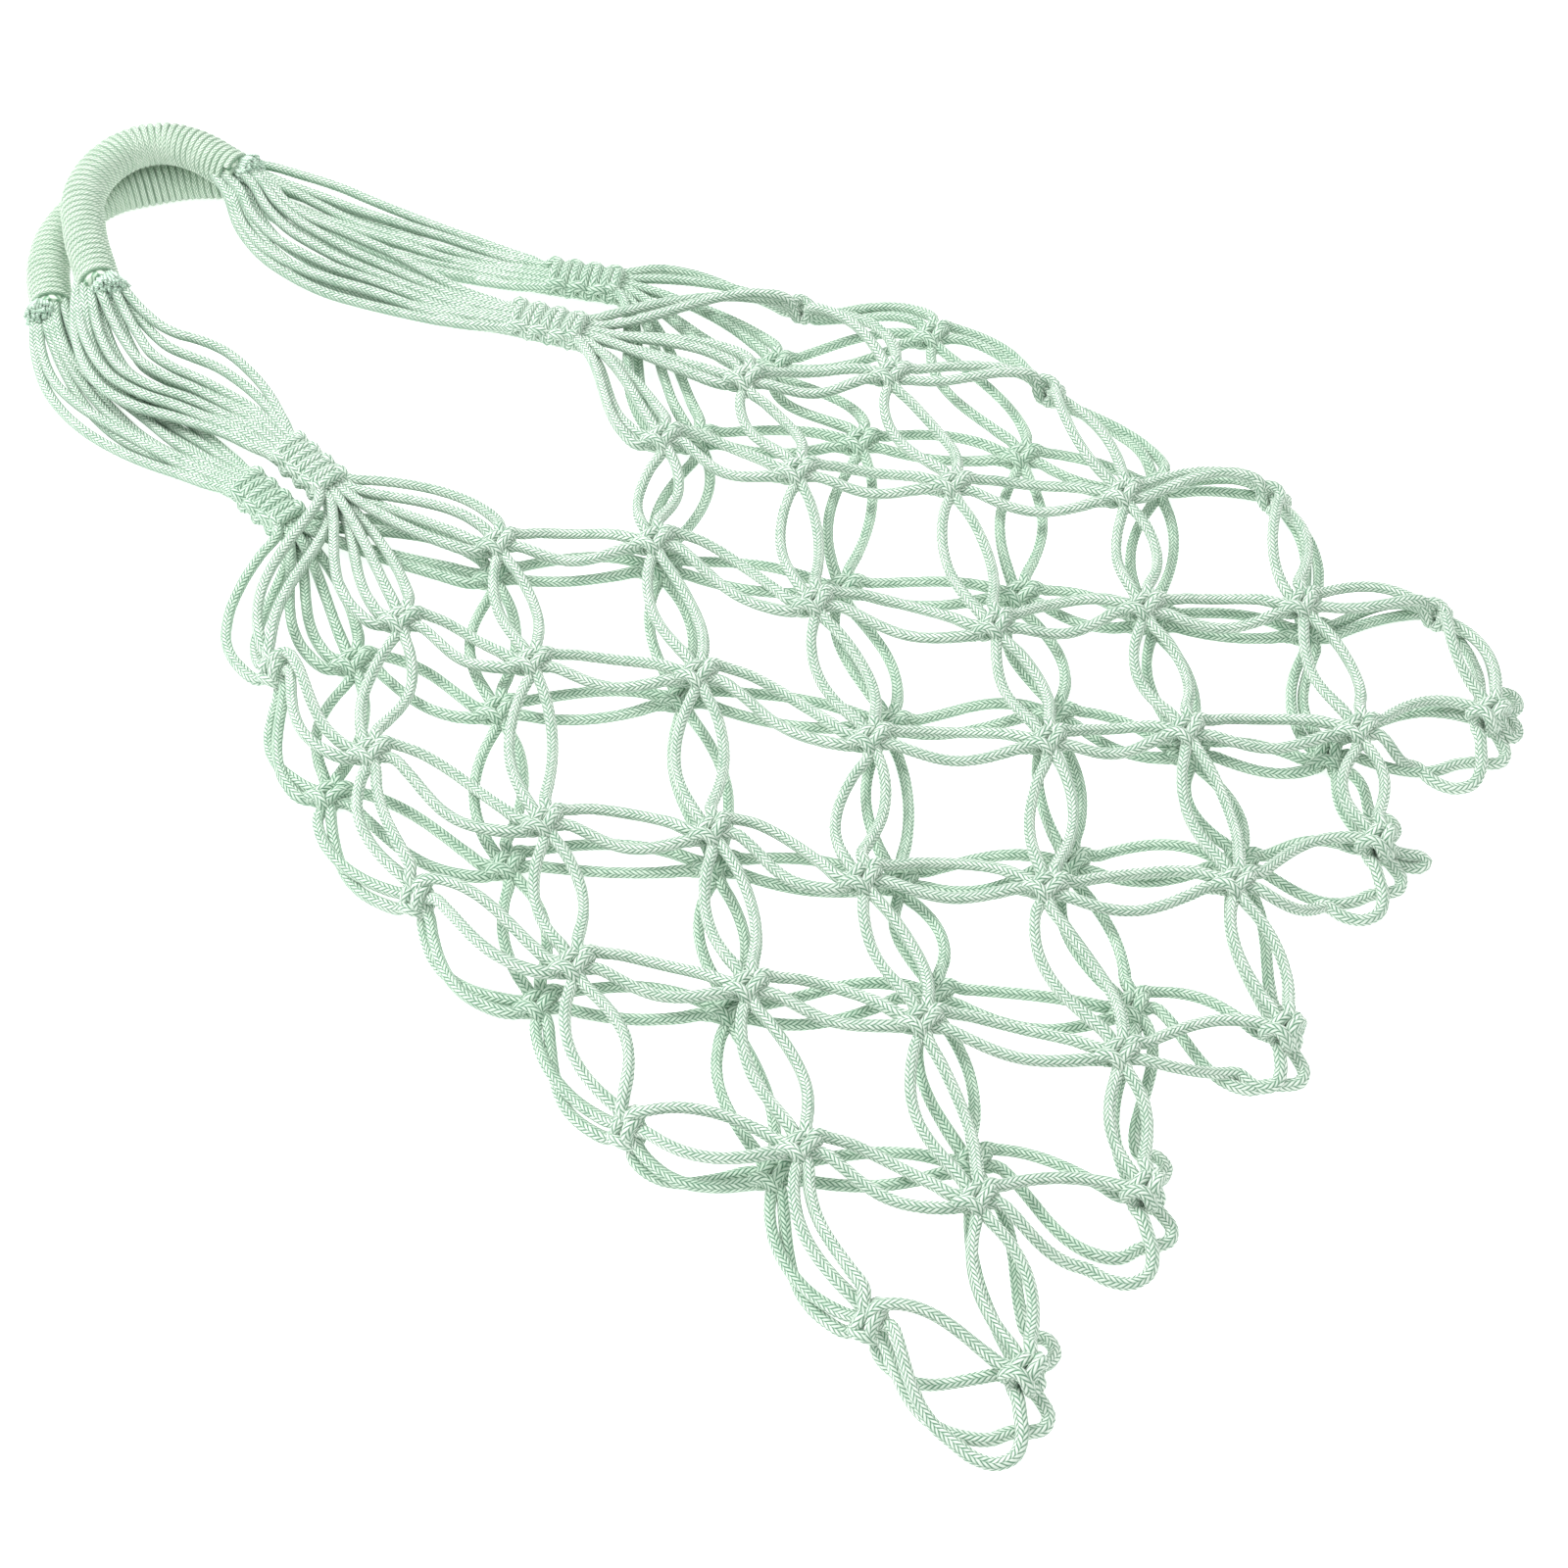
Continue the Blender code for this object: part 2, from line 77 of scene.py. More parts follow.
table_mesh = bpy.data.meshes.new("table")
table_mesh.from_pydata([(-TABLE_HALF, -TABLE_HALF, 0.0), (TABLE_HALF, -TABLE_HALF, 0.0),
                        (TABLE_HALF, TABLE_HALF, 0.0), (-TABLE_HALF, TABLE_HALF, 0.0)],
                       [], [(0, 1, 2, 3)])
table = bpy.data.objects.new("table", table_mesh)
bpy.context.scene.collection.objects.link(table)
table_paint = bpy.data.materials.new("white_table")
table_paint.use_nodes = True
table_shader = table_paint.node_tree.nodes["Principled BSDF"]
table_shader.inputs["Base Color"].default_value = TABLE_COLOUR
table_shader.inputs["Roughness"].default_value = TABLE_ROUGHNESS
table_shader.inputs["Emission Color"].default_value = WHITE
table_shader.inputs["Emission Strength"].default_value = TABLE_GLOW
table_mesh.materials.append(table_paint)

world = bpy.data.worlds.new("studio")
world.use_nodes = True
world.node_tree.nodes["Background"].inputs["Color"].default_value = WHITE
world.node_tree.nodes["Background"].inputs["Strength"].default_value = STUDIO_STRENGTH
bpy.context.scene.world = world
bpy.context.scene.view_settings.view_transform = "Standard"

# Place, width and power of each soft light
LIGHTS = {"window": ((-0.9, 1.5, 2.0), 1.2, 56.0), "ceiling": ((0.4, -0.3, 2.4), 2.0, 24.0)}

for light_name, (light_place, light_width, light_power) in LIGHTS.items():
    light_data = bpy.data.lights.new(light_name, "AREA")
    light_data.size = light_width
    light_data.energy = light_power
    lamp = bpy.data.objects.new(light_name, light_data)
    bpy.context.scene.collection.objects.link(lamp)
    lamp.location = light_place
    lamp.rotation_euler = (-Vector(light_place)).to_track_quat("-Z", "Y").to_euler()

# Wound grips.
# Each grip is a bent core of cords, wound with one braided cotton cord from end to end in tight turns.
# The core's own ends are cut off beside the loose strands, and stand there as a short fuzzy tuft.
HANDLE_LENGTH = 0.285
dice = np.random.default_rng(11)

# One row for each round: its share of the net's length down from the mouth, then the knots' places
# across as shares of the half width and their lifts as shares of the rounds' pitch, front and back.
ROUNDS = (
    (0.000, (-0.74, -0.50, -0.22, 0.23, 0.48, 0.75), (0.36, -0.04, 0.04, -0.02, 0.00, 0.36),
     (-0.61, -0.25, 0.32, 0.60), (0.06, -0.02, -0.06, 0.12)),
    (0.130, (-0.77, -0.39, 0.01, 0.36, 0.71), (0.04, -0.14, 0.12, -0.12, 0.12),
     (-0.87, -0.49, 0.01, 0.56, 0.91), (0.10, -0.16, 0.04, -0.08, 0.37)),
    (0.287, (-0.92, -0.65, -0.18, 0.12, 0.56, 0.94), (-0.02, -0.24, 0.00, -0.10, 0.02, 0.28),
     (-0.74, -0.21, 0.23, 0.77), (-0.20, 0.06, 0.00, 0.00)),
    (0.459, (-0.84, -0.44, -0.06, 0.33, 0.79), (-0.12, 0.06, -0.14, -0.02, 0.22),
     (-0.92, -0.46, 0.03, 0.47, 0.91), (-0.06, -0.06, 0.00, 0.20, 0.22)),
    (0.594, (-1.00, -0.65, -0.32, 0.18, 0.58, 1.03), (-0.36, -0.16, -0.06, -0.12, 0.26, 0.37),
     (-0.68, -0.24, 0.28, 0.61), (-0.10, -0.14, 0.14, 0.24)),
    (0.735, (-0.83, -0.48, -0.09, 0.39, 0.81), (-0.36, -0.22, -0.04, 0.22, 0.43),
     (-0.88, -0.39, 0.02, 0.40, 0.81), (-0.28, 0.00, 0.10, 0.18, 0.32)),
    (0.885, (-0.98, -0.69, -0.28, 0.17, 0.63, 1.01), (-0.51, -0.41, -0.30, 0.10, 0.39, 0.75),
     (-0.61, -0.15, 0.25, 0.58), (-0.10, 0.00, 0.30, 0.49)),
    (1.000, (-0.87, -0.45, -0.01, 0.46, 0.87), (-0.67, -0.30, -0.12, 0.47, 0.65), (), ()),
)
BOTTOM = len(ROUNDS) - 1


def middle(node):
    """Middle of a CAD node's box."""
    low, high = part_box(node)
    return (np.array(low) + np.array(high)) / 2


fold_left, fold_right = middle("fold_knot_left_1"), middle("fold_knot_right_1")
mouth_shares, mouth_lift, bottom_lift = ROUNDS[0][1], ROUNDS[0][2][0], ROUNDS[BOTTOM][2][2]
half_width = (fold_right[0] - fold_left[0]) / (mouth_shares[-1] - mouth_shares[0])
middle_x = fold_left[0] - mouth_shares[0] * half_width
net_length = (fold_left[1] - middle("bottom_knot_3")[1]) / (1 + (mouth_lift - bottom_lift) / BOTTOM)
mouth_y = fold_left[1] - mouth_lift * net_length / BOTTOM


def handle_place(across, up, z):
    """Place in the handle from its shares of the half width and of the handle's length."""
    return np.array([middle_x + across * half_width, mouth_y + up * HANDLE_LENGTH, z])


def unit(vector):
    """Vector of length one in the same direction, for one vector or rows of them."""
    return vector / np.maximum(np.linalg.norm(vector, axis=-1, keepdims=True), 1e-12)


def smooth(points, steps):
    """Even samples of the cubic curve through the points.

    At each point the slope is the mean of the slopes of the spans on both sides, weighted by the other
    span's length. Each span is the cubic with its ends' places and slopes, cut into steps of its own size.
    """
    gap = np.diff(points, axis=0)
    length = np.maximum(np.linalg.norm(gap, axis=1), 1e-9)
    slope = gap / length[:, None]
    before, after = length[:-1, None], length[1:, None]
    inner = (slope[:-1] * after + slope[1:] * before) / (after + before)
    slopes = np.vstack([slope[:1], inner, slope[-1:]])
    count = np.maximum(np.ceil(length / steps).astype(int), 1)
    span = np.repeat(np.arange(len(gap)), count)
    first = np.repeat(np.cumsum(count) - count, count)
    t = ((np.arange(len(span)) - first) / np.repeat(count, count))[:, None]
    a, b, m, n, d = points[span], points[span + 1], slopes[span], slopes[span + 1], length[span][:, None]
    places = ((2 * t ** 3 - 3 * t ** 2 + 1) * a + (t ** 3 - 2 * t ** 2 + t) * d * m
              + (3 * t ** 2 - 2 * t ** 3) * b + (t ** 3 - t ** 2) * d * n)
    return np.vstack([places, points[-1:]]), np.append(span, len(gap) - 1)


def carried_frames(places):
    """Direction, side and lift at each sample, where side and lift turn no more than the path does.

    A plain pair is made at each sample first. Turning one sample's pair by the bend to the next shows
    how far the next pair is twisted against it, and the sum of those angles takes the twist out.
    """
    way = unit(np.gradient(places, axis=0))
    seed = np.where(np.abs(way[:, 2:]) < 0.8, [[0.0, 0.0, 1.0]], [[1.0, 0.0, 0.0]])
    side = unit(np.cross(seed, way))
    lift = np.cross(way, side)
    axis = np.cross(way[:-1], way[1:])
    cosine = np.sum(way[:-1] * way[1:], axis=1, keepdims=True)
    moved = (side[:-1] * cosine + np.cross(axis, side[:-1])
             + axis * np.sum(axis * side[:-1], axis=1, keepdims=True) / (1.0 + cosine + 1e-6))
    twist = np.arctan2(np.sum(moved * lift[1:], axis=1), np.sum(moved * side[1:], axis=1))
    angle = np.append(0.0, np.cumsum(twist))[:, None]
    return side * np.cos(angle) + lift * np.sin(angle), lift * np.cos(angle) - side * np.sin(angle)


def length_along(places):
    """Length along a path up to each of its places."""
    return np.append(0.0, np.cumsum(np.linalg.norm(np.diff(places, axis=0), axis=1)))


# Shares of the half width, of the handle's length and of the lift, from a grip's left end to its right end
GRIP_ROUTES = {
    "front": ((-0.320, 0.800, 0.80), (-0.250, 0.890, 0.88), (-0.180, 0.950, 0.97), (-0.080, 0.980, 1.03),
              (0.000, 0.978, 1.03), (0.055, 0.955, 1.03), (0.090, 0.908, 1.03), (0.105, 0.842, 1.00)),
    "back": ((-0.395, 0.860, 0.00), (-0.330, 0.923, 0.00), (-0.250, 0.968, 0.00), (-0.160, 0.990, 0.00),
             (-0.075, 0.990, 0.00), (0.010, 0.965, 0.00), (0.090, 0.932, 0.00), (0.147, 0.895, 0.00)),
}
GRIP_D = 0.0185
GRIP_LIFT = 0.0188
GRIP_STEP = 0.002


def grip_line(layer):
    """Middle line of a grip, sampled every 2 mm from its left end to its right end."""
    points = np.array([handle_place(across, up, GRIP_D / 2 + rise * GRIP_LIFT)
                       for across, up, rise in GRIP_ROUTES[layer]])
    return smooth(points, GRIP_STEP)[0]


# Half the width of the 4 mm cord with its fuzz
CORD_R = 0.00215
CORD_SIDES = 10


def cord_mesh(name, runs, radius, sides):
    """Mesh of round cords: a ring round every sample of each run, joined along it, and both ends closed.

    Point (i, j) is place i + radius * width i * (side i * cos(turn j) + lift i * sin(turn j)). The map's
    first number is the share of a turn and its second the length along the cord over its girth. The rims
    of the closed ends are sharp edges, so the cord looks round right up to where the next part goes on.
    """
    points, faces, maps, rims, base = [], [], [], [], 0
    turn = 2 * np.pi * np.arange(sides) / sides
    for places, side, lift, along, width in runs:
        count = len(places)
        spoke = side[:, None] * np.cos(turn)[:, None] + lift[:, None] * np.sin(turn)[:, None]
        ring = places[:, None] + radius * width[:, None, None] * spoke
        points.append(ring.reshape(-1, 3))
        i, j = np.meshgrid(np.arange(count - 1), np.arange(sides), indexing="ij")
        after = (j + 1) % sides
        here, beyond = i * sides, (i + 1) * sides
        quads = np.stack([here + j, here + after, beyond + after, beyond + j], axis=-1)
        faces += (quads.reshape(-1, 4) + base).tolist()
        girth = along / (2 * np.pi * radius)
        u = np.stack([j, j + 1, j + 1, j], axis=-1) / sides
        v = np.stack([girth[i], girth[i], girth[i + 1], girth[i + 1]], axis=-1)
        maps.append(np.stack([u, v], axis=-1).reshape(-1, 2))
        ends = [list(range(sides - 1, -1, -1)), list(range((count - 1) * sides, count * sides))]
        faces += [[corner + base for corner in end] for end in ends]
        rim = np.zeros(count * sides, dtype=int)
        rim[:sides], rim[-sides:] = len(points) * 2 - 1, len(points) * 2
        rims.append(rim)
        for end_girth in (girth[0], girth[-1]):
            maps.append(np.stack([np.arange(sides) / sides, np.full(sides, end_girth)], axis=-1))
        base += count * sides
    mesh = bpy.data.meshes.new(name)
    mesh.from_pydata(np.vstack(points).tolist(), [], faces)
    layer = mesh.uv_layers.new(name="cord")
    layer.data.foreach_set("uv", np.vstack(maps).ravel())
    mesh.polygons.foreach_set("use_smooth", np.ones(len(faces), dtype=bool))
    corners = np.zeros(len(mesh.edges) * 2, dtype=np.int32)
    mesh.edges.foreach_get("vertices", corners)
    rim = np.concatenate(rims)[corners.reshape(-1, 2)]
    mesh.edges.foreach_set("use_edge_sharp", (rim[:, 0] == rim[:, 1]) & (rim[:, 0] > 0))
    mesh.update()
    piece = bpy.data.objects.new(name, mesh)
    bpy.context.scene.collection.objects.link(piece)
    return piece


def math_node(tree, operation, first, second=None):
    """Maths node between sockets or numbers."""
    node = tree.nodes.new("ShaderNodeMath")
    node.operation = operation
    for slot, value in enumerate((first, second)):
        if value is None:
            continue
        if isinstance(value, (int, float)):
            node.inputs[slot].default_value = value
        else:
            tree.links.new(value, node.inputs[slot])
    return node.outputs[0]


# The braid's columns round the cord, its stitches in a length of one girth, and how far a stitch leans
BRAID_COLUMNS = 8.0
BRAID_STITCHES = 6.6
BRAID_LEAN = 1.1
# How much lower a column's edges are, how much lower the lowest stitches are, and how round a stitch is
EDGE_DROP = 0.35
STITCH_DROP = 0.3
STITCH_ROUND = 0.8
# How fine the fibres are along a stitch and across the columns, and how high they stand
FIBRES_ALONG = 5.0
FIBRES_ACROSS = 1.3
FIBRE_HEIGHT = 0.5


def braid_group():
    """Braided yarns on a cord's own map: columns round the cord whose stitches lean left and right in turn.

    The phase of a stitch is the length in stitches plus the lean times a zigzag over the columns. Its
    height is a half wave over the phase, lower at the column's edges and lower for some stitches than for
    others, and fine fibres run along it.
    """
    tree = bpy.data.node_groups.new("braided_yarn", "ShaderNodeTree")
    face = tree.interface
    face.new_socket(name="Map", in_out="INPUT", socket_type="NodeSocketVector")
    for name, value in (("Columns", BRAID_COLUMNS), ("Stitches", BRAID_STITCHES), ("Lean", BRAID_LEAN)):
        face.new_socket(name=name, in_out="INPUT", socket_type="NodeSocketFloat").default_value = value
    for name in ("Yarn", "Height"):
        face.new_socket(name=name, in_out="OUTPUT", socket_type="NodeSocketFloat")
    entry, leave = tree.nodes.new("NodeGroupInput"), tree.nodes.new("NodeGroupOutput")
    parts = tree.nodes.new("ShaderNodeSeparateXYZ")
    tree.links.new(entry.outputs["Map"], parts.inputs[0])
    round_cord = math_node(tree, "MULTIPLY", parts.outputs[0], entry.outputs["Columns"])
    along_cord = math_node(tree, "MULTIPLY", parts.outputs[1], entry.outputs["Stitches"])
    zigzag = math_node(tree, "PINGPONG", round_cord, 1.0)
    column = math_node(tree, "FRACT", round_cord)
    shift = math_node(tree, "MULTIPLY", math_node(tree, "FLOOR", round_cord), 0.5)
    lean = math_node(tree, "MULTIPLY", zigzag, entry.outputs["Lean"])
    phase = math_node(tree, "ADD", math_node(tree, "ADD", along_cord, lean), shift)
    stitch = math_node(tree, "FRACT", phase)
    bulge = math_node(tree, "SINE", math_node(tree, "MULTIPLY", stitch, np.pi))
    rib = math_node(tree, "SINE", math_node(tree, "MULTIPLY", column, np.pi))
    soft_rib = math_node(tree, "ADD", math_node(tree, "MULTIPLY", rib, EDGE_DROP), 1 - EDGE_DROP)
    cell = tree.nodes.new("ShaderNodeCombineXYZ")
    tree.links.new(math_node(tree, "FLOOR", phase), cell.inputs[0])
    tree.links.new(math_node(tree, "FLOOR", round_cord), cell.inputs[1])
    chance = tree.nodes.new("ShaderNodeTexWhiteNoise")
    chance.noise_dimensions = "2D"
    tree.links.new(cell.outputs[0], chance.inputs["Vector"])
    tone = math_node(tree, "MULTIPLY", chance.outputs["Value"], STITCH_DROP)
    tone = math_node(tree, "ADD", tone, 1 - STITCH_DROP)
    stitch_height = math_node(tree, "MULTIPLY", math_node(tree, "POWER", bulge, STITCH_ROUND), tone)
    yarn = math_node(tree, "MULTIPLY", stitch_height, soft_rib)
    fibre = tree.nodes.new("ShaderNodeTexNoise")
    fibre.inputs["Scale"].default_value = 1.0
    fibre.inputs["Detail"].default_value = 2.0
    stretch = tree.nodes.new("ShaderNodeCombineXYZ")
    tree.links.new(math_node(tree, "MULTIPLY", phase, FIBRES_ALONG), stretch.inputs[0])
    tree.links.new(math_node(tree, "MULTIPLY", round_cord, FIBRES_ACROSS), stretch.inputs[1])
    tree.links.new(stretch.outputs[0], fibre.inputs["Vector"])
    fuzz = math_node(tree, "MULTIPLY", math_node(tree, "SUBTRACT", fibre.outputs[0], 0.5), FIBRE_HEIGHT)
    height = math_node(tree, "ADD", yarn, fuzz)
    tree.links.new(yarn, leave.inputs["Yarn"])
    tree.links.new(height, leave.inputs["Height"])
    return tree


BRAID = braid_group()
COTTON_FINISH = {"Roughness": 0.9, "Specular IOR Level": 0.2, "Sheen Weight": 0.3, "Sheen Roughness": 0.5}
# Heights of the braid at which its dark colour, painted shade between the yarns, ends and its light colour
# begins
PAINTED_SHADE_BELOW = 0.24
LIGHT_ABOVE = 0.70
# Slow uneven shades: patches for each metre, the tone they are multiplied by and how strong they are
PATCHES = 60.0
PATCH_TONE = (0.78, 0.86, 0.80, 1.0)
PATCH_STRENGTH = 0.5
# How sharply the painted shade on a cord's flanks falls off from its sides
FLANK_SHADE_SHARPNESS = 4.0
RELIEF = 0.65
RELIEF_HEIGHT = 0.0006


def mixed(tree, amount, first, tone, blend="MIX"):
    """Colour of a socket mixed with a fixed tone, by the amount of another socket."""
    mix = tree.nodes.new("ShaderNodeMix")
    mix.data_type = "RGBA"
    mix.blend_type = blend
    tree.links.new(amount, mix.inputs[0])
    tree.links.new(first, mix.inputs[6])
    mix.inputs[7].default_value = tone
    return mix.outputs[2]


def cotton(name, light, painted_shade_colour, stitches=BRAID_STITCHES, columns=BRAID_COLUMNS, groove=0.0):
    """Matt braided cotton: a dark painted shade colour between the yarns, light colour on them, in slow
    uneven shades.

    Painted shade darkens the two flanks of a cord with the shade colour, |cos(turn)| to the fourth power
    times the painted flank shade, where its turns lie against each other and along the sides of loose
    cords.
    """
    paint = bpy.data.materials.new(name)
    paint.use_nodes = True
    tree = paint.node_tree
    shader = tree.nodes["Principled BSDF"]
    for socket, value in COTTON_FINISH.items():
        shader.inputs[socket].default_value = value
    where = tree.nodes.new("ShaderNodeUVMap")
    where.uv_map = "cord"
    braid = tree.nodes.new("ShaderNodeGroup")
    braid.node_tree = BRAID
    for socket, value in (("Columns", columns), ("Stitches", stitches), ("Lean", BRAID_LEAN)):
        braid.inputs[socket].default_value = value
    tree.links.new(where.outputs[0], braid.inputs["Map"])
    # Painted shade between the yarns: where the braid is low, the colour is the dark shade colour
    ramp = tree.nodes.new("ShaderNodeValToRGB")
    ramp.color_ramp.elements[0].position = PAINTED_SHADE_BELOW
    ramp.color_ramp.elements[0].color = (*painted_shade_colour, 1.0)
    ramp.color_ramp.elements[1].position = LIGHT_ABOVE
    ramp.color_ramp.elements[1].color = (*light, 1.0)
    tree.links.new(braid.outputs["Height"], ramp.inputs[0])
    coordinates = tree.nodes.new("ShaderNodeTexCoord")
    cloud = tree.nodes.new("ShaderNodeTexNoise")
    cloud.inputs["Scale"].default_value = PATCHES
    cloud.inputs["Detail"].default_value = 3.0
    tree.links.new(coordinates.outputs["Object"], cloud.inputs["Vector"])
    patch = math_node(tree, "MULTIPLY", math_node(tree, "SUBTRACT", 0.75, cloud.outputs[0]), PATCH_STRENGTH)
    shade = mixed(tree, patch, ramp.outputs[0], PATCH_TONE, "MULTIPLY")
    parts = tree.nodes.new("ShaderNodeSeparateXYZ")
    tree.links.new(where.outputs[0], parts.inputs[0])
    # Painted shade on both flanks of the cord, mixed in with the shade colour
    turn = math_node(tree, "MULTIPLY", parts.outputs[0], 2 * np.pi)
    flank = math_node(tree, "ABSOLUTE", math_node(tree, "COSINE", turn))
    flank_shade_amount = math_node(tree, "MULTIPLY", math_node(tree, "POWER", flank, FLANK_SHADE_SHARPNESS), groove)
    tree.links.new(mixed(tree, flank_shade_amount, shade, (*painted_shade_colour, 1.0)), shader.inputs["Base Color"])
    bump = tree.nodes.new("ShaderNodeBump")
    bump.inputs["Strength"].default_value = RELIEF
    bump.inputs["Distance"].default_value = RELIEF_HEIGHT
    tree.links.new(braid.outputs["Height"], bump.inputs["Height"])
    tree.links.new(bump.outputs[0], shader.inputs["Normal"])
    return paint


# The winding's strong flank darkening is painted shade where its turns lie against each other
WOUND_COTTON = cotton("mint_cotton_wound", (0.83, 0.93, 0.81), (0.20, 0.38, 0.24), groove=0.9)
CUT_COTTON = cotton("mint_cotton_cut", (0.86, 0.96, 0.88), (0.30, 0.58, 0.40), stitches=3.0, columns=2.0)


def dress(name, nodes, runs, paint, radius=CORD_R, sides=CORD_SIDES):
    """Piece of cords in its own cotton, that stands for CAD nodes where there are any."""
    piece = cord_mesh(name, runs, radius, sides)
    piece.data.materials.append(paint)
    if nodes:
        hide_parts(*nodes)
    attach(piece, "root")


def run_of(places):
    """Run of one cord from its places: side, lift and length along are worked out."""
    side, lift = carried_frames(places)
    return places, side, lift, length_along(places), np.ones(len(places))


# Half widths of the core and of the winding's cord, and how far that cord's middle is from the grip's
GRIP_CORE_R = 0.0068
CORE_SIDES = 20
WINDING_R = 0.0076
WINDING_CORD_R = 0.00160
WINDING_SIDES = 8
WINDING_PITCH = 0.0030
TURN_STEPS = 20
# How far in from each end the winding starts, and how far it reaches over the first part of the strands
WINDING_INSET = CORD_R * 0.8
END_WRAP = 0.005


def winding(line):
    """Run of the cord wound round a middle line, one turn for each pitch of length.

    Its middle is place + WINDING_R * (side * cos(turn) + lift * sin(turn)).
    """
    side, lift = carried_frames(line)
    along = length_along(line)
    first, last = WINDING_INSET, along[-1] - WINDING_INSET
    count = int((last - first) / WINDING_PITCH * TURN_STEPS)
    length = np.linspace(first, last, count)
    turn = 2 * np.pi * length / WINDING_PITCH

    def at(rows):
        return np.stack([np.interp(length, along, rows[:, axis]) for axis in range(3)], axis=1)

    radial = unit(at(side)) * np.cos(turn)[:, None] + unit(at(lift)) * np.sin(turn)[:, None]
    places = at(line) + WINDING_R * radial
    way = unit(np.gradient(places, axis=0))
    across = unit(np.cross(radial, way))
    return places, across, radial, length_along(places), np.ones(len(places))


TUFT_YARNS = 170
TUFT_YARN_R = 0.00065
TUFT_YARN_SIDES = 5
TUFT_R = 0.0056
# The yarns' length over the core's end, its share at the middle, its loss at the rim, and its unevenness
TUFT_LENGTH = 0.0062
TUFT_CROWN = 1.20
TUFT_RIM_LOSS = 0.55
TUFT_UNEVEN = (0.85, 1.05)
# How far the tuft stands beside the core, how deep its yarns are rooted, and their least height
TUFT_OFFSET = 0.0032
TUFT_ROOT = 0.003
TUFT_FLOOR = 0.0008
# How far yarns lean to the tuft's side, out from its middle and at random, and their bend at the tips
TUFT_SIDEWAYS = 0.10
TUFT_SPREAD = 0.20
TUFT_FRIZZ = 0.06
TUFT_BEND = 0.0006
TUFT_STATIONS = np.array([0.0, 0.4, 0.8, 1.0])[:, None]
# Directions, across and along the bag, in which each grip's cut core stands off at its left and right end
TUFT_SIDES = {"front": ((0.71, -0.71), (0.95, 0.30)), "back": ((-0.71, 0.71), (0.70, -0.70))}


def tuft(base, outward, side_way):
    """Bundle of thin cut yarns: places on a disc by the golden angle, each leaning out from its middle."""
    off = unit(side_way - outward * (side_way @ outward))
    lift = np.cross(outward, off)
    runs = []
    for index in range(TUFT_YARNS):
        share = np.sqrt((index + 0.5) / TUFT_YARNS)
        angle = index * np.pi * (3 - np.sqrt(5))
        spot = off * np.cos(angle) + lift * np.sin(angle)
        root = base + off * TUFT_OFFSET + spot * TUFT_R * share - outward * TUFT_ROOT
        crown = TUFT_LENGTH * (TUFT_CROWN - TUFT_RIM_LOSS * share ** 2)
        reach = crown * dice.uniform(*TUFT_UNEVEN) + TUFT_ROOT
        splay = TUFT_SIDEWAYS * off + TUFT_SPREAD * spot * share
        lean = unit(outward + splay + dice.normal(0.0, TUFT_FRIZZ, 3))
        places = root + TUFT_STATIONS * reach * lean
        places[2:] += spot * share * TUFT_BEND
        places[:, 2] = np.maximum(places[:, 2], TUFT_FLOOR)
        runs.append(run_of(places))
    return runs


grip_ends = {}
for layer in ("front", "back"):
    node = f"grip_{layer}"
    line = grip_line(layer)
    grip_ends[layer] = ((line[0], unit(line[0] - line[1])), (line[-1], unit(line[-1] - line[-2])))
    (left_end, left_way), (right_end, right_way) = grip_ends[layer]
    wrapped = np.vstack([left_end + END_WRAP * left_way, line, right_end + END_WRAP * right_way])
    wrapped[:, 2] = np.maximum(wrapped[:, 2], line[:, 2].min())
    dress(f"{node}_winding", [node], [winding(wrapped)], WOUND_COTTON, WINDING_CORD_R,
          WINDING_SIDES)
    dress(f"{node}_core", [], [run_of(wrapped)], WOUND_COTTON, GRIP_CORE_R, CORE_SIDES)
    yarns = []
    for (base, outward), side_way in zip(grip_ends[layer], TUFT_SIDES[layer]):
        yarns += tuft(base + END_WRAP * outward, outward, np.array([*side_way, 0.0]))
    dress(f"{node}_cut_ends", [], yarns, CUT_COTTON, TUFT_YARN_R, TUFT_YARN_SIDES)

# Loose strands.
# Ten braided cotton cords come out of each end of a grip and run side by side to a gather, in two loose
# layers with gaps between. Nothing holds them on the way, so some stray from the rest.
STRAND_ROUTES = {
    "front_left": ((-0.380, 0.720), (-0.412, 0.630), (-0.370, 0.545), (-0.340, 0.460)),
    "front_right": ((0.075, 0.720), (0.100, 0.607), (0.153, 0.516), (0.205, 0.425)),
    "back_left": ((-0.470, 0.740), (-0.487, 0.628), (-0.474, 0.523), (-0.455, 0.446)),
    "back_right": ((0.232, 0.786), (0.270, 0.677), (0.322, 0.579), (0.388, 0.477)),
}
GATHERS = {
    "front_left": ((-0.335, 0.365), (-0.342, 0.256)),
    "front_right": ((0.280, 0.340), (0.350, 0.246)),
    "back_left": ((-0.447, 0.372), (-0.453, 0.260)),
    "back_right": ((0.453, 0.382), (0.531, 0.302)),
}
# The strands' cotton has the front cotton's colours, with stronger painted shade on each cord's flanks
STRAND_COTTON = cotton("mint_cotton_strands", (0.81, 0.91, 0.81), (0.12, 0.28, 0.17), groove=0.5)
BACK_STRAND_Z = 0.0048
SINK_POWER = 0.6
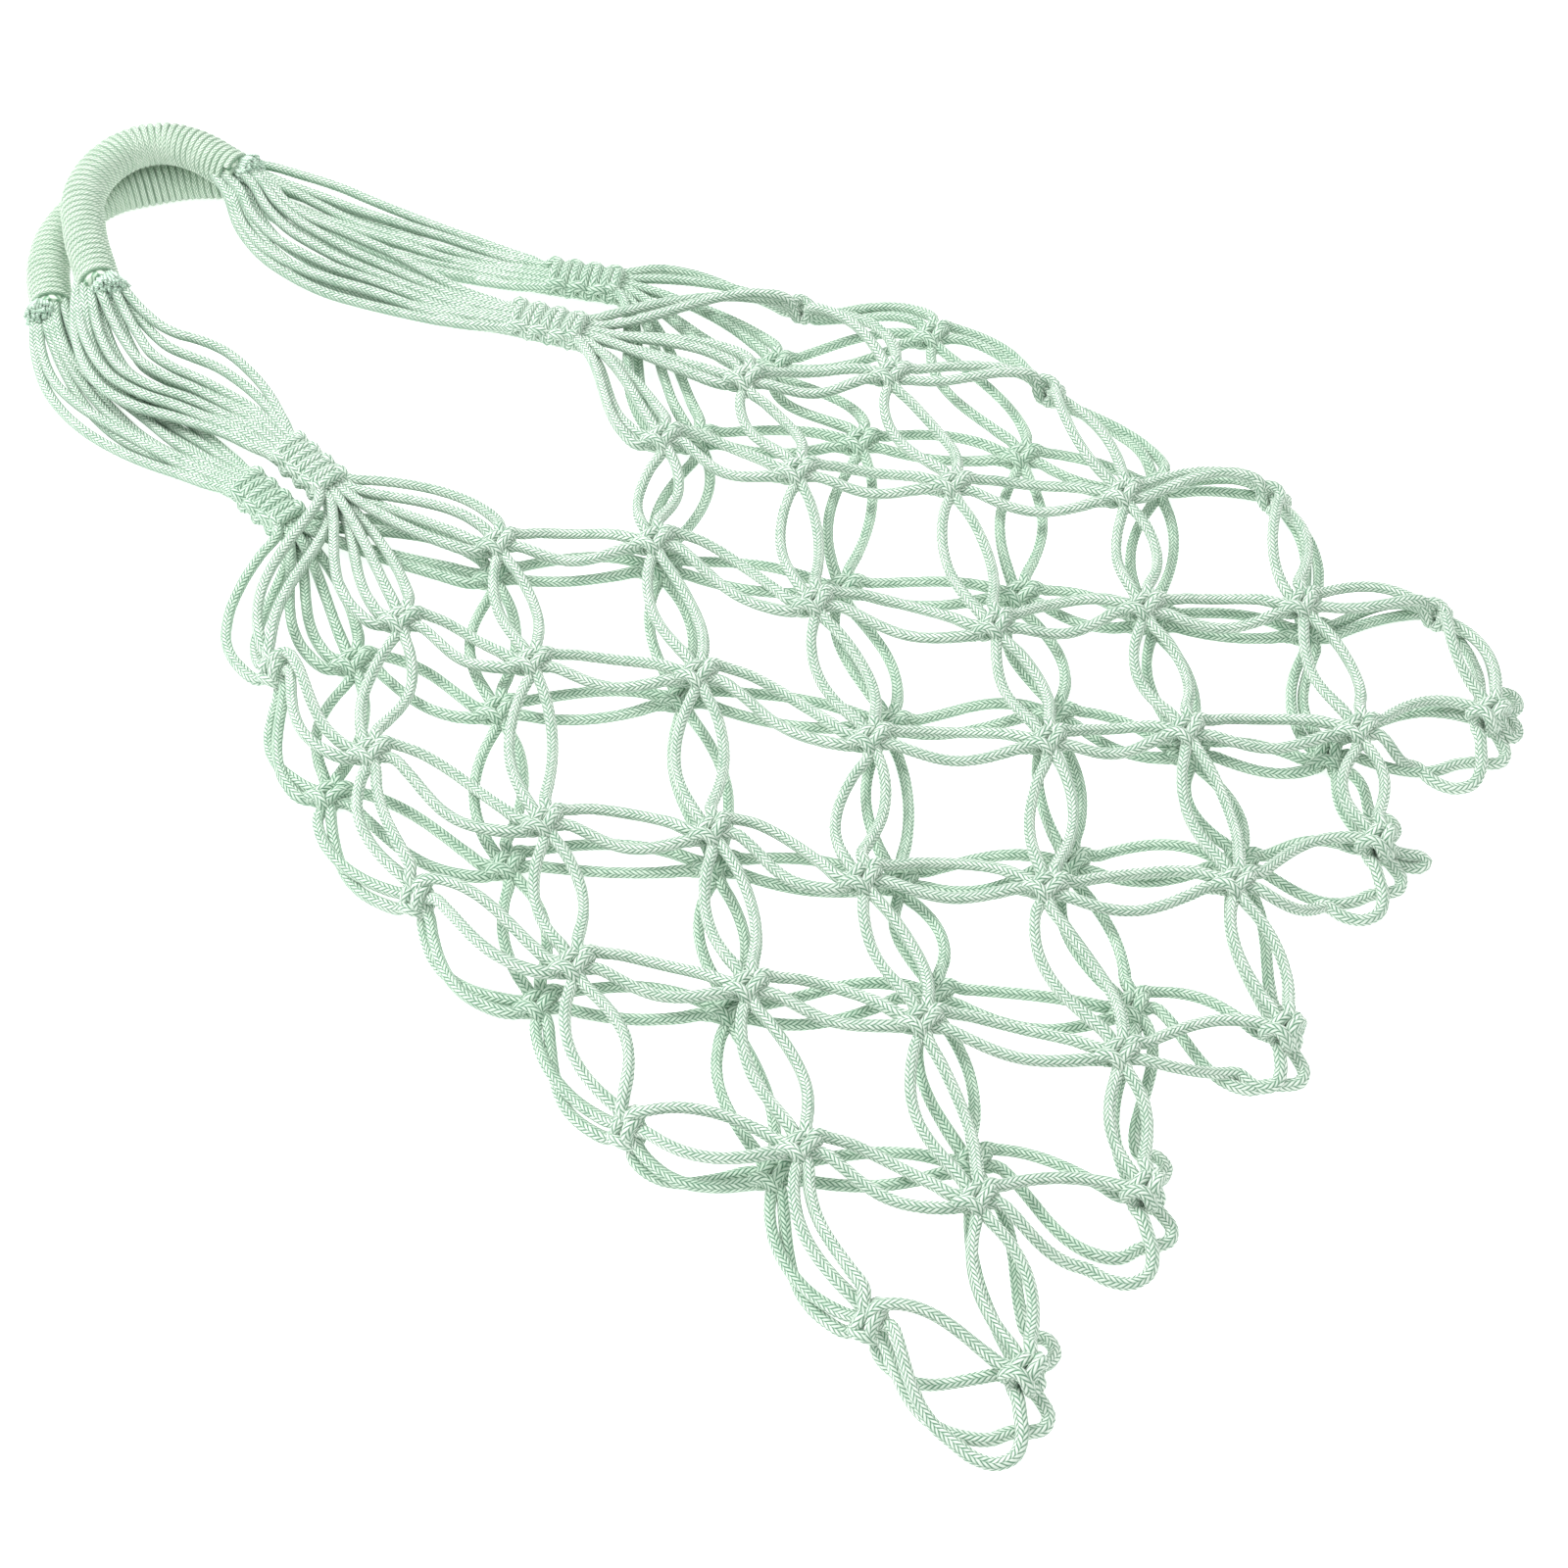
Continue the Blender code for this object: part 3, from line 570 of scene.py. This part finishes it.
# The cords' places in the end of a grip and in a gather, across and up, from left to right
GRIP_UNIT = 0.00085
GRIP_PLACES = np.array([(-5.2, 0.6), (-3.9, -3.4), (-3.4, 3.4), (-1.4, 0.2), (-0.6, -5.0),
                        (0.4, 4.9), (1.8, -1.8), (3.4, 3.2), (4.0, -3.4), (5.4, 0.4)]) * GRIP_UNIT
GATHER_UNIT = 0.00175
CORE_PLACES = np.array([(-3.8, 0.3), (-2.7, -1.2), (-2.4, 1.0), (-0.9, -1.4), (-0.75, 1.15),
                        (0.9, -1.3), (0.95, 1.1), (2.6, -1.2), (2.6, 0.95), (3.8, -0.3)]) * GATHER_UNIT
# How far apart the lanes lie between the ends, how high both layers, and which cords stray from the rest
LANE = {"front_left": 0.0034, "front_right": 0.0032, "back_left": 0.0029, "back_right": 0.0031}
LAYER_RISE = (-0.0027, 0.0008)
STRAYS = {"front_left": {8: 0.008, 9: 0.010}, "front_right": {0: 0.001}, "back_left": {0: -0.003},
          "back_right": {9: 0.003}}
# Sizes of the slow waves sideways and upwards, and how many of them there are on the way
WAVE_SIZES = (0.0012, 0.0026)
WAVE_TURNS = (0.7, 1.5)
RISE_WAVE = 0.0005
RISE_TURNS = (0.8, 1.6)
# Powers of the half wave that is the lanes' weight, in the upper and in the lower half of the way
FREE_POWERS = (0.6, 1.1)
STRAND_STATIONS = 11
STRAND_LINE_STEP = 0.001
# How far the cords start inside a grip, how far they make room for the tuft, and their gap to the table
GRIP_OVERLAP = 0.004
TUFT_ROOM = 0.0020
TABLE_GAP = 0.0001
UP = np.array([0.0, 0.0, 1.0])


def gather_frame(name):
    """Upper and lower end of a gather, and its directions down, across and up."""
    z = middle(f"gather_{name}")[2]
    top, end = (handle_place(*share, z) for share in GATHERS[name])
    down = unit(end - top)
    return top, end, down, np.array([-down[1], down[0], 0.0]), UP


def strand_line(name):
    """Even stations on the middle line of a bundle of strands, from its grip to its gather."""
    layer, side = name.split("_")
    start, outward = grip_ends[layer][0 if side == "left" else 1]
    top = gather_frame(name)[0]
    points = [start - GRIP_OVERLAP * outward, start + GRIP_OVERLAP * outward]
    route = STRAND_ROUTES[name]
    for index, (across, up) in enumerate(route):
        share = (index + 1) / (len(route) + 1)
        sunk = start[2] + (top[2] - start[2]) * share ** SINK_POWER
        points.append(handle_place(across, up, sunk if layer == "front" else BACK_STRAND_Z))
    line = smooth(np.array(points + [top]), STRAND_LINE_STEP)[0]
    return line[np.linspace(0, len(line) - 1, STRAND_STATIONS).round().astype(int)]


STRAND_LINES = {name: strand_line(name) for name in GATHERS}


def strand_points(name, rank):
    """One cord's way in its bundle: its place in the grip's end turns into its lane, then its core place.

    The lane has weight sin(pi * t) to a power that is lower in the upper half, the ends share the rest
    by t, and slow waves move it.
    """
    layer, side = name.split("_")
    line = STRAND_LINES[name]
    t = np.linspace(0.0, 1.0, len(line))[:, None]
    way = unit(np.gradient(line, axis=0))
    across = unit(np.stack([-way[:, 1], way[:, 0], 0 * way[:, 0]], axis=1))
    tuft_way = np.array([*TUFT_SIDES[layer][0 if side == "left" else 1], 0.0])
    ends = GRIP_PLACES[rank] * (1 - t) + CORE_PLACES[rank] * t
    lane = (rank - 4.5) * LANE[name] + STRAYS[name].get(rank, 0.0) * np.sin(np.pi * t)
    wave = dice.uniform(*WAVE_SIZES) * np.sin(2 * np.pi * (t * dice.uniform(*WAVE_TURNS) + dice.uniform()))
    swell = RISE_WAVE * np.sin(2 * np.pi * (t * dice.uniform(*RISE_TURNS) + dice.uniform()))
    free = np.sin(np.pi * t) ** np.where(t < 0.5, *FREE_POWERS)
    side_step = ends[:, :1] * (1 - free) + (lane + wave) * free
    up_step = ends[:, 1:] * (1 - free) + (LAYER_RISE[rank % 2] + swell) * free
    points = line + across * side_step + UP * up_step
    points -= tuft_way * TUFT_ROOM * (1 - t) ** 4
    points[:, 2] = np.maximum(points[:, 2], CORD_R + TABLE_GAP)
    return points[:-1]


# Gathers.
# Where the ten strands meet, two of them are tied round the other eight in seven tight half knots: one
# lies in bars across the front, the other crosses behind and comes up in bumps, left and right in turn.
HALF_KNOTS = 7
BAR_PITCH = 0.0044
# Places for one half knot: units across towards its far side, pitches along, and units outwards
FRONT_BAR = ((-3.7, -0.02, 1.4), (-2.3, 0.0, 2.8), (0.0, 0.0, 3.2), (2.3, 0.0, 2.8), (3.7, 0.02, 1.4),
             (4.3, 0.50, 0.0))
BUMP = ((2.9, -0.45, 0.4), (3.5, -0.10, 1.7), (3.9, 0.5, 2.4), (3.5, 1.10, 1.7), (3.0, 1.45, 0.2))
BACK_BAR = ((2.6, 1.45, -1.2), (1.2, 1.25, -2.2), (-1.2, 0.8, -2.2), (-2.6, 0.55, -1.2))
# The tying cords' places before the first half knot, and the back one's after the last
FRONT_START = ((-3.5, -1.1, 0.4),)
BACK_START = ((3.3, -1.1, 1.2),)
BACK_FINISH = ((-2.9, -0.5, 1.2), (-3.4, -0.15, 3.0), (-3.7, 0.3, 2.2))


def placed(rows, side, step):
    """Rows of places on one side of a gather, moved along it by a number of half knots."""
    return [(across * side, step + along, out) for across, along, out in rows]


def worker_ways():
    """Ways of the two tying cords, half knot by half knot, each on the other side than the one before."""
    half = (HALF_KNOTS - 1) / 2
    front = placed(FRONT_START, 1, -half)
    back = placed(BACK_START, 1, -half)
    for index in range(HALF_KNOTS):
        front += placed(FRONT_BAR, 1 if index % 2 == 0 else -1, index - half)
    for index in range(-1, HALF_KNOTS - 1):
        rows = (BUMP + BACK_BAR)[2 if index < 0 else 0:]
        back += placed(rows, 1 if index % 2 else -1, index - half)
    back += placed(BACK_FINISH, 1, half)
    scale = [GATHER_UNIT, BAR_PITCH, GATHER_UNIT]
    return np.array(front[:-1]) * scale, np.array(back) * scale


FRONT_WORKER, BACK_WORKER = worker_ways()


def gather_points(name, rank):
    """One cord's way through a gather: the outer two tie, and the others run straight through."""
    top, end, down, across, out = gather_frame(name)
    if rank in (0, 9):
        way = FRONT_WORKER if rank == 0 else BACK_WORKER
        return (top + end) / 2 + way[:, :1] * across + way[:, 1:2] * down + way[:, 2:] * out
    shares = np.linspace(0.0, 1.0, 4)[:, None]
    return top + (end - top) * shares + across * CORE_PLACES[rank][0] + out * CORE_PLACES[rank][1]


# Net of square knots.
# Four cords at a time are tied into square knots, staggered from round to round, so the net is a tube that
# lies flat in two layers. The outer two cords work round the inner two, and they change parts at the next.
FRONT_COTTON = cotton("mint_cotton_front", (0.81, 0.90, 0.81), (0.12, 0.28, 0.17), groove=0.2)
# The back cotton is the front cotton painted darker: painted shade on the layer that lies under the front
# one
SHADED_BACK_COTTON = cotton("mint_cotton_back", (0.72, 0.86, 0.73), (0.10, 0.25, 0.15), groove=0.2)
# Heights of the knots' middles. The back layer's knots stand a little above the middle of its box
BACK_LIFT = 0.0013
LAYER_Z = {"front": middle("net_front")[2], "back": middle("net_back")[2] + BACK_LIFT,
           "fold": fold_left[2], "bottom": middle("bottom_knot_3")[2]}
FOLD_TILT = np.radians(62.0)
LEVEL = np.array([1.0, 1.0, 0.0])


def knot_keys():
    """Every knot as (layer, row, column) with its place across and along the bag."""
    for row, (down, across, lift, back_across, back_lift) in enumerate(ROUNDS):
        columns = range(-5, 6, 2) if row % 2 == 0 else range(-4, 5, 2)
        inner = columns[1:-1] if row % 2 == 0 else columns
        layers = (("front", columns, across, lift), ("back", inner, back_across, back_lift))
        for layer, numbers, shares, lifts in layers:
            for column, share, up in zip(numbers, shares, lifts):
                kind = "bottom" if row == BOTTOM else "fold" if abs(column) == 5 else layer
                y = mouth_y - down * net_length + up * net_length / BOTTOM
                yield (kind, row, column), np.array([middle_x + share * half_width, y, LAYER_Z[kind]])


KNOT_PLACES = dict(knot_keys())
# The place that a cord takes next, from each of a knot's four: beside its own, or in the other pair
BESIDE = {0: 1, 1: 0, 2: 3, 3: 2}
OTHER_PAIR = {0: 2, 1: 3, 2: 0, 3: 1}


def next_stop(key, slot):
    """Knot and place in it that a cord goes to when it leaves a knot from one of its four places.

    The left pair goes to the knot on the left below and the right pair to the right one. A worker, place
    0 or 3, becomes a filler, place 1 or 2, and the other way round.
    """
    layer, row, column = key
    left = slot < 2
    if layer == "fold":
        to_back = left == (column < 0)
        target = ("back" if to_back else "front", row + 1, column + (1 if column < 0 else -1))
        place = (BESIDE if to_back else OTHER_PAIR)[slot]
    else:
        target = (layer, row + 1, column + (-1 if left else 1))
        place = OTHER_PAIR[slot]
        if abs(target[2]) == 5:
            target = ("fold",) + target[1:]
            if layer == "back":
                place = BESIDE[slot]
    if row + 1 == BOTTOM:
        place += 4 if target[0] == "back" else 0
        target = ("bottom",) + target[1:]
    return target, place


# How far a knot leans towards the two below it, how far it is turned at random, and its sizes
KNOT_LEAN = 0.5
KNOT_TURN = 0.12
KNOT_SIZES = (0.94, 1.04)


def knot_frame(key):
    """Middle of a knot, its directions across, down and outwards, and its size against the usual one."""
    place = KNOT_PLACES[key]
    below = [KNOT_PLACES[next_stop(key, slot)[0]] for slot in (0, 3)] if key[1] < BOTTOM else []
    down = np.array([0.0, -1.0, 0.0])
    if below:
        lean = unit(np.mean(below, axis=0) - place) * LEVEL
        down = unit(down + (0.0 if key[0] == "fold" else KNOT_LEAN) * lean)
    turn = dice.normal(0.0, KNOT_TURN)
    across = np.array([-down[1], down[0], 0.0])
    down, across = down * np.cos(turn) + across * np.sin(turn), across * np.cos(turn) - down * np.sin(turn)
    out = UP
    if key[0] == "fold":
        tilt = FOLD_TILT * np.sign(key[2])
        across, out = across * np.cos(tilt) - out * np.sin(tilt), out * np.cos(tilt) + across * np.sin(tilt)
    return place, across, down, out, dice.uniform(*KNOT_SIZES)


KNOT_FRAMES = {key: knot_frame(key) for key in KNOT_PLACES}

# The four cords' ways through a knot, in units across, down and outwards. Cord 0 comes from the upper
# left, crosses in front, turns on the right and comes back. Cord 3 goes behind and makes the left bar.
KNOT_WAYS = {
    0: ((-5.4, -3.9, 0.1), (-4.0, -3.0, -0.5), (-2.3, -2.1, 0.9), (-0.6, -1.85, 2.0), (1.0, -1.7, 1.9),
        (2.6, -1.6, 0.5), (3.9, -0.9, -0.6), (4.3, 0.4, -0.8), (3.7, 1.5, 0.5), (2.2, 1.75, 1.8),
        (0.5, 1.95, 2.0), (-1.3, 2.3, 0.9), (-2.9, 3.0, -0.5), (-4.6, 4.2, -0.1)),
    1: ((-2.2, -5.4, 0.1), (-1.2, -3.6, 0.0), (-1.0, -1.5, 0.3), (-1.0, 1.5, 0.3), (-1.2, 3.4, 0.0),
        (-1.9, 5.2, 0.0)),
    2: ((1.6, -5.4, 0.3), (1.0, -3.6, 0.0), (1.0, -1.5, 0.3), (1.0, 1.5, 0.3), (1.5, 3.4, 0.0),
        (2.6, 5.2, 0.2)),
    3: ((5.2, -4.6, 0.9), (3.7, -2.9, 1.7), (2.6, -1.3, 1.3), (1.9, -0.6, -0.4), (0.9, -0.9, -1.9),
        (-1.0, -1.3, -2.0), (-2.7, -2.3, -1.3), (-3.9, -3.2, 0.2), (-3.4, -1.9, 1.6), (-2.6, 0.0, 2.0),
        (-2.4, 1.9, 1.5), (-2.3, 3.2, 0.1), (-1.4, 2.9, -1.5), (0.3, 1.5, -2.0), (1.6, 0.7, -1.3),
        (2.1, 0.25, 0.3), (3.1, 0.0, 1.5), (4.7, 0.5, 1.2), (6.0, 1.9, 0.3)),
}
KNOT_UNIT = 0.00176
KNOT_SQUEEZE = np.array([0.90, 0.74, 1.0])
LINK_POINTS = 5


def knot_points(key, slot):
    """Points of one cord's way through a knot, in the bag's place."""
    place, across, down, out, size = KNOT_FRAMES[key]
    if key[0] == "bottom":
        way = bottom_way(key[2], slot)
    else:
        way = np.array(KNOT_WAYS[slot]) * KNOT_SQUEEZE * KNOT_UNIT * size
    return place + way[:, :1] * across + way[:, 1:2] * down + way[:, 2:] * out


def bowed(start, end, start_way, end_way, reach, bow, sag):
    """Points between two ends of a cord: a cubic with the given directions at its ends, and two half waves.

    One half wave bows the cord sideways and the other, squared, lets it sag.
    """
    span = np.linalg.norm(end - start) * reach
    t = (np.arange(LINK_POINTS) + 1.0)[:, None] / (LINK_POINTS + 1)
    points = ((2 * t ** 3 - 3 * t ** 2 + 1) * start + (t ** 3 - 2 * t ** 2 + t) * span * start_way
              + (3 * t ** 2 - 2 * t ** 3) * end + (t ** 3 - t ** 2) * span * end_way)
    level = unit((end - start) * LEVEL)
    points += bow * np.sin(np.pi * t) * np.array([-level[1], level[0], 0.0])
    points[:, 2] -= sag * np.sin(np.pi * t[:, 0]) ** 2
    return points


def piece_of(key):
    """CAD node that a knot belongs to."""
    layer, row, column = key
    if layer == "fold":
        return f"fold_knot_{'left' if column < 0 else 'right'}_{row // 2 + 1}"
    if layer == "bottom":
        return f"bottom_knot_{(column + 4) // 2 + 1}"
    return f"net_{layer}"


def link_piece(key, target):
    """CAD node that the cords between two knots belong to."""
    return piece_of(target if key[0] == "fold" else key)


# Bottom edge.
# The front and back cords are tied together in five knots, and their ends are tucked in behind. Slack
# cords bow out before they enter: a wide loop and a small one below, and one loop to the right.
def millimetres(*rows):
    """Rows of millimetres in metres."""
    return np.array(rows) * 0.001


WIDE_LOOP = millimetres((-33.5, -2.0, -6.0), (-32.5, 6.5, -6.8), (-29.0, 13.0, -7.0), (-22.5, 15.8, -6.5),
                        (-16.0, 13.0, -4.8), (-11.3, 7.8, -3.2), (-8.0, 3.6, -2.0), (-6.0, -0.5, -2.0))
SMALL_LOOP = millimetres((-22.0, 5.0, -7.6), (-15.6, 7.5, -8.5), (-10.8, 12.0, -8.7), (-6.6, 14.3, -8.6),
                         (-2.4, 12.5, -8.0), (-1.0, 8.5, -6.5), (-0.8, 5.0, -4.5), (-0.5, 2.0, -3.5))
RIGHT_LOOP = millimetres((16.5, -12.0, -7.5), (19.5, -6.5, -8.4), (17.5, -1.8, -8.2), (12.7, -0.2, -7.0),
                         (8.3, -0.4, -5.0), (4.0, 0.0, -3.8), (0.0, 0.4, -3.5))
FOLDED_END = millimetres((3.2, 5.0, -3.0), (6.0, 9.5, -4.5), (9.0, 13.6, -5.8), (8.9, 16.0, -6.6),
                         (6.4, 15.4, -7.6), (4.2, 11.5, -8.2), (2.0, 6.0, -7.0), (0.5, 2.0, -5.0))
ROUND_END = millimetres((2.4, 5.5, -3.0), (2.6, 9.6, -5.0), (6.2, 9.4, -6.2), (9.3, 6.0, -6.6),
                        (9.2, 1.8, -6.0), (5.5, -0.6, -5.0), (1.5, -0.5, -4.0))
# How wide the wide loop of each bottom knot is, from left to right
WIDE_LOOPS = {-4: 0.95, -2: 1.0, 0: 0.62, 2: 0.95, 4: 1.05}
# A bottom knot is deeper than the others, and its front and back cords lie some units apart
BOTTOM_DEPTH = 1.2
BOTTOM_FRONT = 0.9
BOTTOM_BACK = -2.6
# Where the ends are tucked in, across, down and outwards. A filler's go by shares of its place across
LOOP_TUCK = ((0.0, 0.003, -0.003),)
BAR_TUCK = ((0.0055, 0.001, -0.001), (0.003, 0.002, -0.005))
FILLER_TUCK = ((0.8, 0.0048, -0.0020), (0.5, 0.0030, -0.0060))


def bottom_way(column, slot):
    """One cord's way through a bottom knot, across, down and outwards. The back cords are 4 to 7."""
    ring = np.array(KNOT_WAYS[slot % 4]) * KNOT_SQUEEZE * KNOT_UNIT
    ring[:, 2] = ring[:, 2] * BOTTOM_DEPTH + (BOTTOM_BACK if slot > 3 else BOTTOM_FRONT) * KNOT_UNIT
    if slot == 0:
        loop = WIDE_LOOP * [WIDE_LOOPS[column], WIDE_LOOPS[column], 1.0]
        return np.vstack([loop, ring[2:-3], LOOP_TUCK])
    if slot == 4:
        return SMALL_LOOP
    if slot == 7:
        return RIGHT_LOOP * [WIDE_LOOPS[column], 1.0, 1.0]
    if slot == 2 and column in (2, 4):
        return np.vstack([ring[:4], FOLDED_END if column == 2 else ROUND_END])
    if slot == 3:
        return np.vstack([ring[:-2], BAR_TUCK])
    return np.vstack([ring[:-2], [(ring[-3, 0] * across, down, out) for across, down, out in FILLER_TUCK]])


# The forty cords.
# Each braided cotton cord, 4 mm thick, runs in one length from a grip through strands, gather, fan and
# net to the bottom edge. It is kept as one run for each CAD part that it passes, and each part is dressed.
STRAND_STEP = 0.0032
LINK_STEP = 0.0030
TIED_STEP = 0.0013
# How much wider a cord is where it is tied, and over how many samples its width changes
TIED_SWELL = 0.10
SWELL_SAMPLES = 5
# How far a fan's cords bow outwards, with the outermost ones' own factors, and how uneven that is
FAN_BOW = 0.0045
OUTER_BOW = {("back_left", 0): 2.6, ("front_left", 0): 1.5, ("back_right", 9): 2.0,
             ("front_right", 0): -0.2}
FAN_UNEVEN = 0.0012
FAN_REACH = 0.9
# The two tying cords change sides in the gather and leave it sideways, a little further on
CHANGED_SIDE = {0: 9, 9: 0}
SIDEWAYS = {0: 0.6, 9: -0.6}
FAN_GAP = 0.0015
SIDEWAYS_GAP = 0.002
# How far the cords of a pair bow apart, how straight they set off, and how far the front layer's sag
PAIR_BOW = (0.0028, 0.0060)
PAIR_REACH = (0.8, 1.1)
FRONT_SAG = 0.003

cord_parts = {}


def lay_cord(parts):
    """Smooths one cord through its parts, rows of (CAD node, points, step), and keeps each node's run.

    The cord is a little wider where it is tied, between samples with the finer step, than elsewhere.
    """
    points = np.vstack([row[1] for row in parts])
    owner = np.concatenate([[index] * len(row[1]) for index, row in enumerate(parts)])
    steps = np.array([row[2] for row in parts])[np.maximum(owner[:-1], owner[1:])]
    places, span = smooth(points, steps)
    tied = (steps[np.minimum(span, len(steps) - 1)] < LINK_STEP).astype(float)
    tied = np.pad(tied, SWELL_SAMPLES // 2, mode="edge")
    width = 1.0 + TIED_SWELL * np.convolve(tied, np.full(SWELL_SAMPLES, 1 / SWELL_SAMPLES), mode="valid")
    places[:, 2] = np.maximum(places[:, 2], CORD_R * width + TABLE_GAP)
    side, lift = carried_frames(places)
    along = length_along(places)
    names = np.array([row[0] for row in parts])
    holder = names[np.maximum(owner[span], owner[np.minimum(span + 1, len(owner) - 1)])]
    cuts = np.flatnonzero(holder[1:] != holder[:-1]) + 1
    begin = 0
    for end in list(cuts) + [len(places)]:
        stop = min(end + 1, len(places))
        run = tuple(values[begin:stop] for values in (places, side, lift, along, width))
        cord_parts.setdefault(str(holder[begin]), []).append(run)
        begin = end


def fan_stops(name):
    """Knots and places in them of a gather's ten cords, from left to right as they leave it."""
    layer, side = name.split("_")
    sign = -1 if side == "left" else 1
    stops = [((layer, 0, sign * column), slot) for column in (1, 3) for slot in range(4)]
    outer = (0, 1) if (side == "left") == (layer == "back") else (2, 3)
    stops += [(("fold", 0, sign * 5), slot) for slot in outer]
    end, down, across = gather_frame(name)[1:4]
    offsets = [knot_points(key, slot)[0] - end for key, slot in stops]
    return [stops[index] for index in np.argsort([np.arctan2(row @ across, row @ down) for row in offsets])]


def fan_part(name, rank, leaving, entry):
    """Points of one cord in a fan, from the last point in its gather to the first two in its knot."""
    down, across = gather_frame(name)[2:4]
    exit_rank = CHANGED_SIDE.get(rank, rank)
    sideways = SIDEWAYS.get(rank, 0.0)
    aim = unit((entry[0] - leaving) * LEVEL)
    lead = unit(down + 0.5 * aim + sideways * across)
    inlet = unit(aim + unit(entry[1] - entry[0]))
    start = leaving + (FAN_GAP + SIDEWAYS_GAP * abs(sideways)) * lead
    bow = FAN_BOW * (exit_rank - 4.5) / 4.5 + dice.normal(0.0, FAN_UNEVEN)
    bow *= OUTER_BOW.get((name, exit_rank), 1.0)
    return np.vstack([start, bowed(start, entry[0], lead, inlet, FAN_REACH, bow, 0.0)])


def link_part(key, target, way_out, way_in):
    """Points of one cord between two knots, bowed away from the line between their middles."""
    aim = unit((way_in[0] - way_out[-1]) * LEVEL)
    leave = unit(unit(way_out[-1] - way_out[-2]) + aim)
    arrive = unit(unit(way_in[1] - way_in[0]) + aim)
    sag = FRONT_SAG if key[0] == "front" and target[0] == "front" else 0.0
    reach = dice.uniform(*PAIR_REACH)
    pair_middle = (KNOT_PLACES[key] + KNOT_PLACES[target]) / 2
    off = ((way_out[-1] + way_in[0]) / 2 - pair_middle) @ np.array([-aim[1], aim[0], 0.0])
    bow = np.sign(off) * dice.uniform(*PAIR_BOW)
    return bowed(way_out[-1], way_in[0], leave, arrive, reach, bow, sag)


for name in GATHERS:
    stops = fan_stops(name)
    for rank in range(10):
        key, slot = stops[CHANGED_SIDE.get(rank, rank)]
        tied = gather_points(name, rank)
        parts = [(f"strands_{name}", strand_points(name, rank), STRAND_STEP),
                 (f"gather_{name}", tied, TIED_STEP if rank in (0, 9) else LINK_STEP),
                 (f"fan_{name}", fan_part(name, rank, tied[-1], knot_points(key, slot)), LINK_STEP),
                 (piece_of(key), knot_points(key, slot), TIED_STEP)]
        while key[0] != "bottom":
            target, slot = next_stop(key, slot)
            way_in = knot_points(target, slot)
            parts.append((link_piece(key, target), link_part(key, target, parts[-1][1], way_in), LINK_STEP))
            parts.append((piece_of(target), way_in, TIED_STEP))
            key = target
        lay_cord(parts)

for name in GATHERS:
    paint = FRONT_COTTON if name.startswith("front") else SHADED_BACK_COTTON
    for node, ending, finish in (("strands", "cords", STRAND_COTTON), ("gather", "knots", paint),
                                 ("fan", "cords", paint)):
        node = f"{node}_{name}"
        dress(f"{node}_{ending}", [node], cord_parts[node], finish)
for layer, paint in (("front", FRONT_COTTON), ("back", SHADED_BACK_COTTON)):
    dress(f"net_cords_{layer}", [f"net_{layer}"], cord_parts[f"net_{layer}"], paint)
knot_nodes = [f"fold_knot_{side}_{number}" for side in ("left", "right") for number in (1, 2, 3, 4)]
knot_nodes += [f"bottom_knot_{number}" for number in (1, 2, 3, 4, 5)]
for node in knot_nodes:
    dress(f"{node}_cords", [node], cord_parts[node], FRONT_COTTON)
